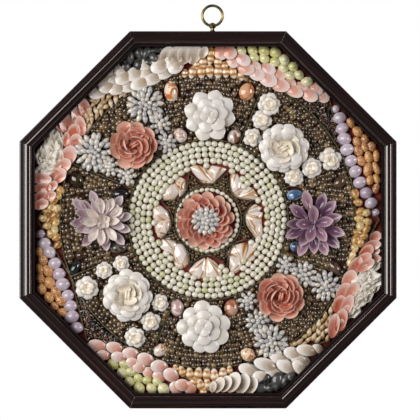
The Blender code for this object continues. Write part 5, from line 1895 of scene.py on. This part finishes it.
def make_crumb_caps():
    """Slivers and crumbs of mussel, black with pale and orange bits, heaped between the card strips."""
    sliver = ovoid_form(3, 5, point=0.4)
    for point, seed in (("NE", 107), ("SW", 108)):
        random = numbers(seed)
        radius = random.uniform(OUTER_CIRCLE, SIGHT, CRUMBS_TRIED)
        angle = SECTORS[point] + random.uniform(-HALF_SIDE, HALF_SIDE, CRUMBS_TRIED)
        mine = in_cap(radius, angle, 0.0012)
        radius, angle = radius[mine][:CRUMBS_KEPT], angle[mine][:CRUMBS_KEPT]
        count = len(radius)
        long = random.uniform(0.0022, 0.0046, count)
        wide = random.uniform(0.0006, 0.0014, count)
        turn = random.uniform(0.0, TURN, count)
        start = polar(radius, angle) - polar(0.5 * long, turn)
        sizes = np.stack([long, wide, 0.7 * wide], axis=1)
        height = FLOOR + 0.0008 + random.uniform(0.0, 0.0042, count)
        tilt = random.normal(0.0, 0.3, count)
        tones = random.uniform(0.0, 1.0, count)
        part = lay(sliver, high(start, height), sizes, turn, tilt, 0.0, tones)
        # The bed under them runs back along the circle and out along the chevron.
        off = np.linspace(-0.90 * HALF_SIDE, 0.90 * HALF_SIDE, BED_STEPS)
        edge = (CHEVRON_DISTANCE - 0.0013) / np.cos(np.abs(off) - CHEVRON_SLOPE)
        circle = np.full(BED_STEPS, OUTER_CIRCLE + 0.0011)
        radius = np.concatenate([circle, np.maximum(edge, OUTER_CIRCLE + 0.0013)])
        angle = SECTORS[point] + np.concatenate([off[::-1], off])
        outline = anticlockwise(polar(radius, angle))
        bed = whole(pillow(outline, FLOOR, FLOOR + 0.0024, edge=0.4, rows=5), 0.1)
        gather(f"crumb_cap_{point}", [part, bed], [CRUMB], [f"side_cap_{point}"])


make_crumb_caps()

# Stage: a pale floor well below that throws little light up, white air, and two soft lights at the
# sides, the left one the stronger.
FLOOR_REACH, FLOOR_HEIGHT = 6.0, -1.4
floor_mesh = bpy.data.meshes.new("floor")
ends = (-FLOOR_REACH, FLOOR_REACH)
floor_mesh.from_pydata([(x, y, FLOOR_HEIGHT) for y in ends for x in ends], [], [(0, 1, 3, 2)])
floor = new_object("floor", floor_mesh)
floor_paint = paper_finish("pale_floor", "807e7b", "868481", "8c8a87", 40.0, 0.7)
tree = floor_paint.node_tree
paint = next(node for node in tree.nodes if node.type == "BSDF_PRINCIPLED")
paint.inputs["Emission Color"].default_value = linear("b9b7b4")
seen = add(tree, "LightPath").outputs["Is Camera Ray"]
tree.links.new(seen, paint.inputs["Emission Strength"])
floor_mesh.materials.append(floor_paint)

air = bpy.data.worlds.new("studio_air")
bpy.context.scene.world = air
air.use_nodes = True
tree = air.node_tree
tree.nodes.clear()
seen = add(tree, "LightPath").outputs["Is Camera Ray"]
white = add(tree, "Background", {"Color": (1.0, 1.0, 1.0, 1.0), "Strength": 1.0})
dim = add(tree, "Background", {"Color": (0.9, 0.93, 1.0, 1.0), "Strength": 0.09})
both = add(tree, "MixShader", {0: seen, 1: dim.outputs[0], 2: white.outputs[0]})
add(tree, "OutputWorld", {"Surface": both.outputs["Shader"]})


def softbox(name, place, size, power, tint):
    """A rectangular light that faces the picture."""
    data = bpy.data.lights.new(name, "AREA")
    data.shape = "RECTANGLE"
    data.size, data.size_y = size
    data.energy = power
    data.color = linear(tint)[:3]
    made = new_object(name, data)
    made.location = place
    aim = Vector((MIDDLE_X, WALL_Y - 0.02, MIDDLE_Z)) - Vector(place)
    made.rotation_euler = aim.to_track_quat("-Z", "Y").to_euler()


softbox("left_softbox", (-1.60, -1.60, 0.10), (2.2, 1.5), 58.0, "fffaf6")
softbox("right_softbox", (1.70, -1.15, 0.10), (0.5, 1.0), 16.0, "fff3f0")
bpy.context.scene.view_settings.view_transform = "Standard"
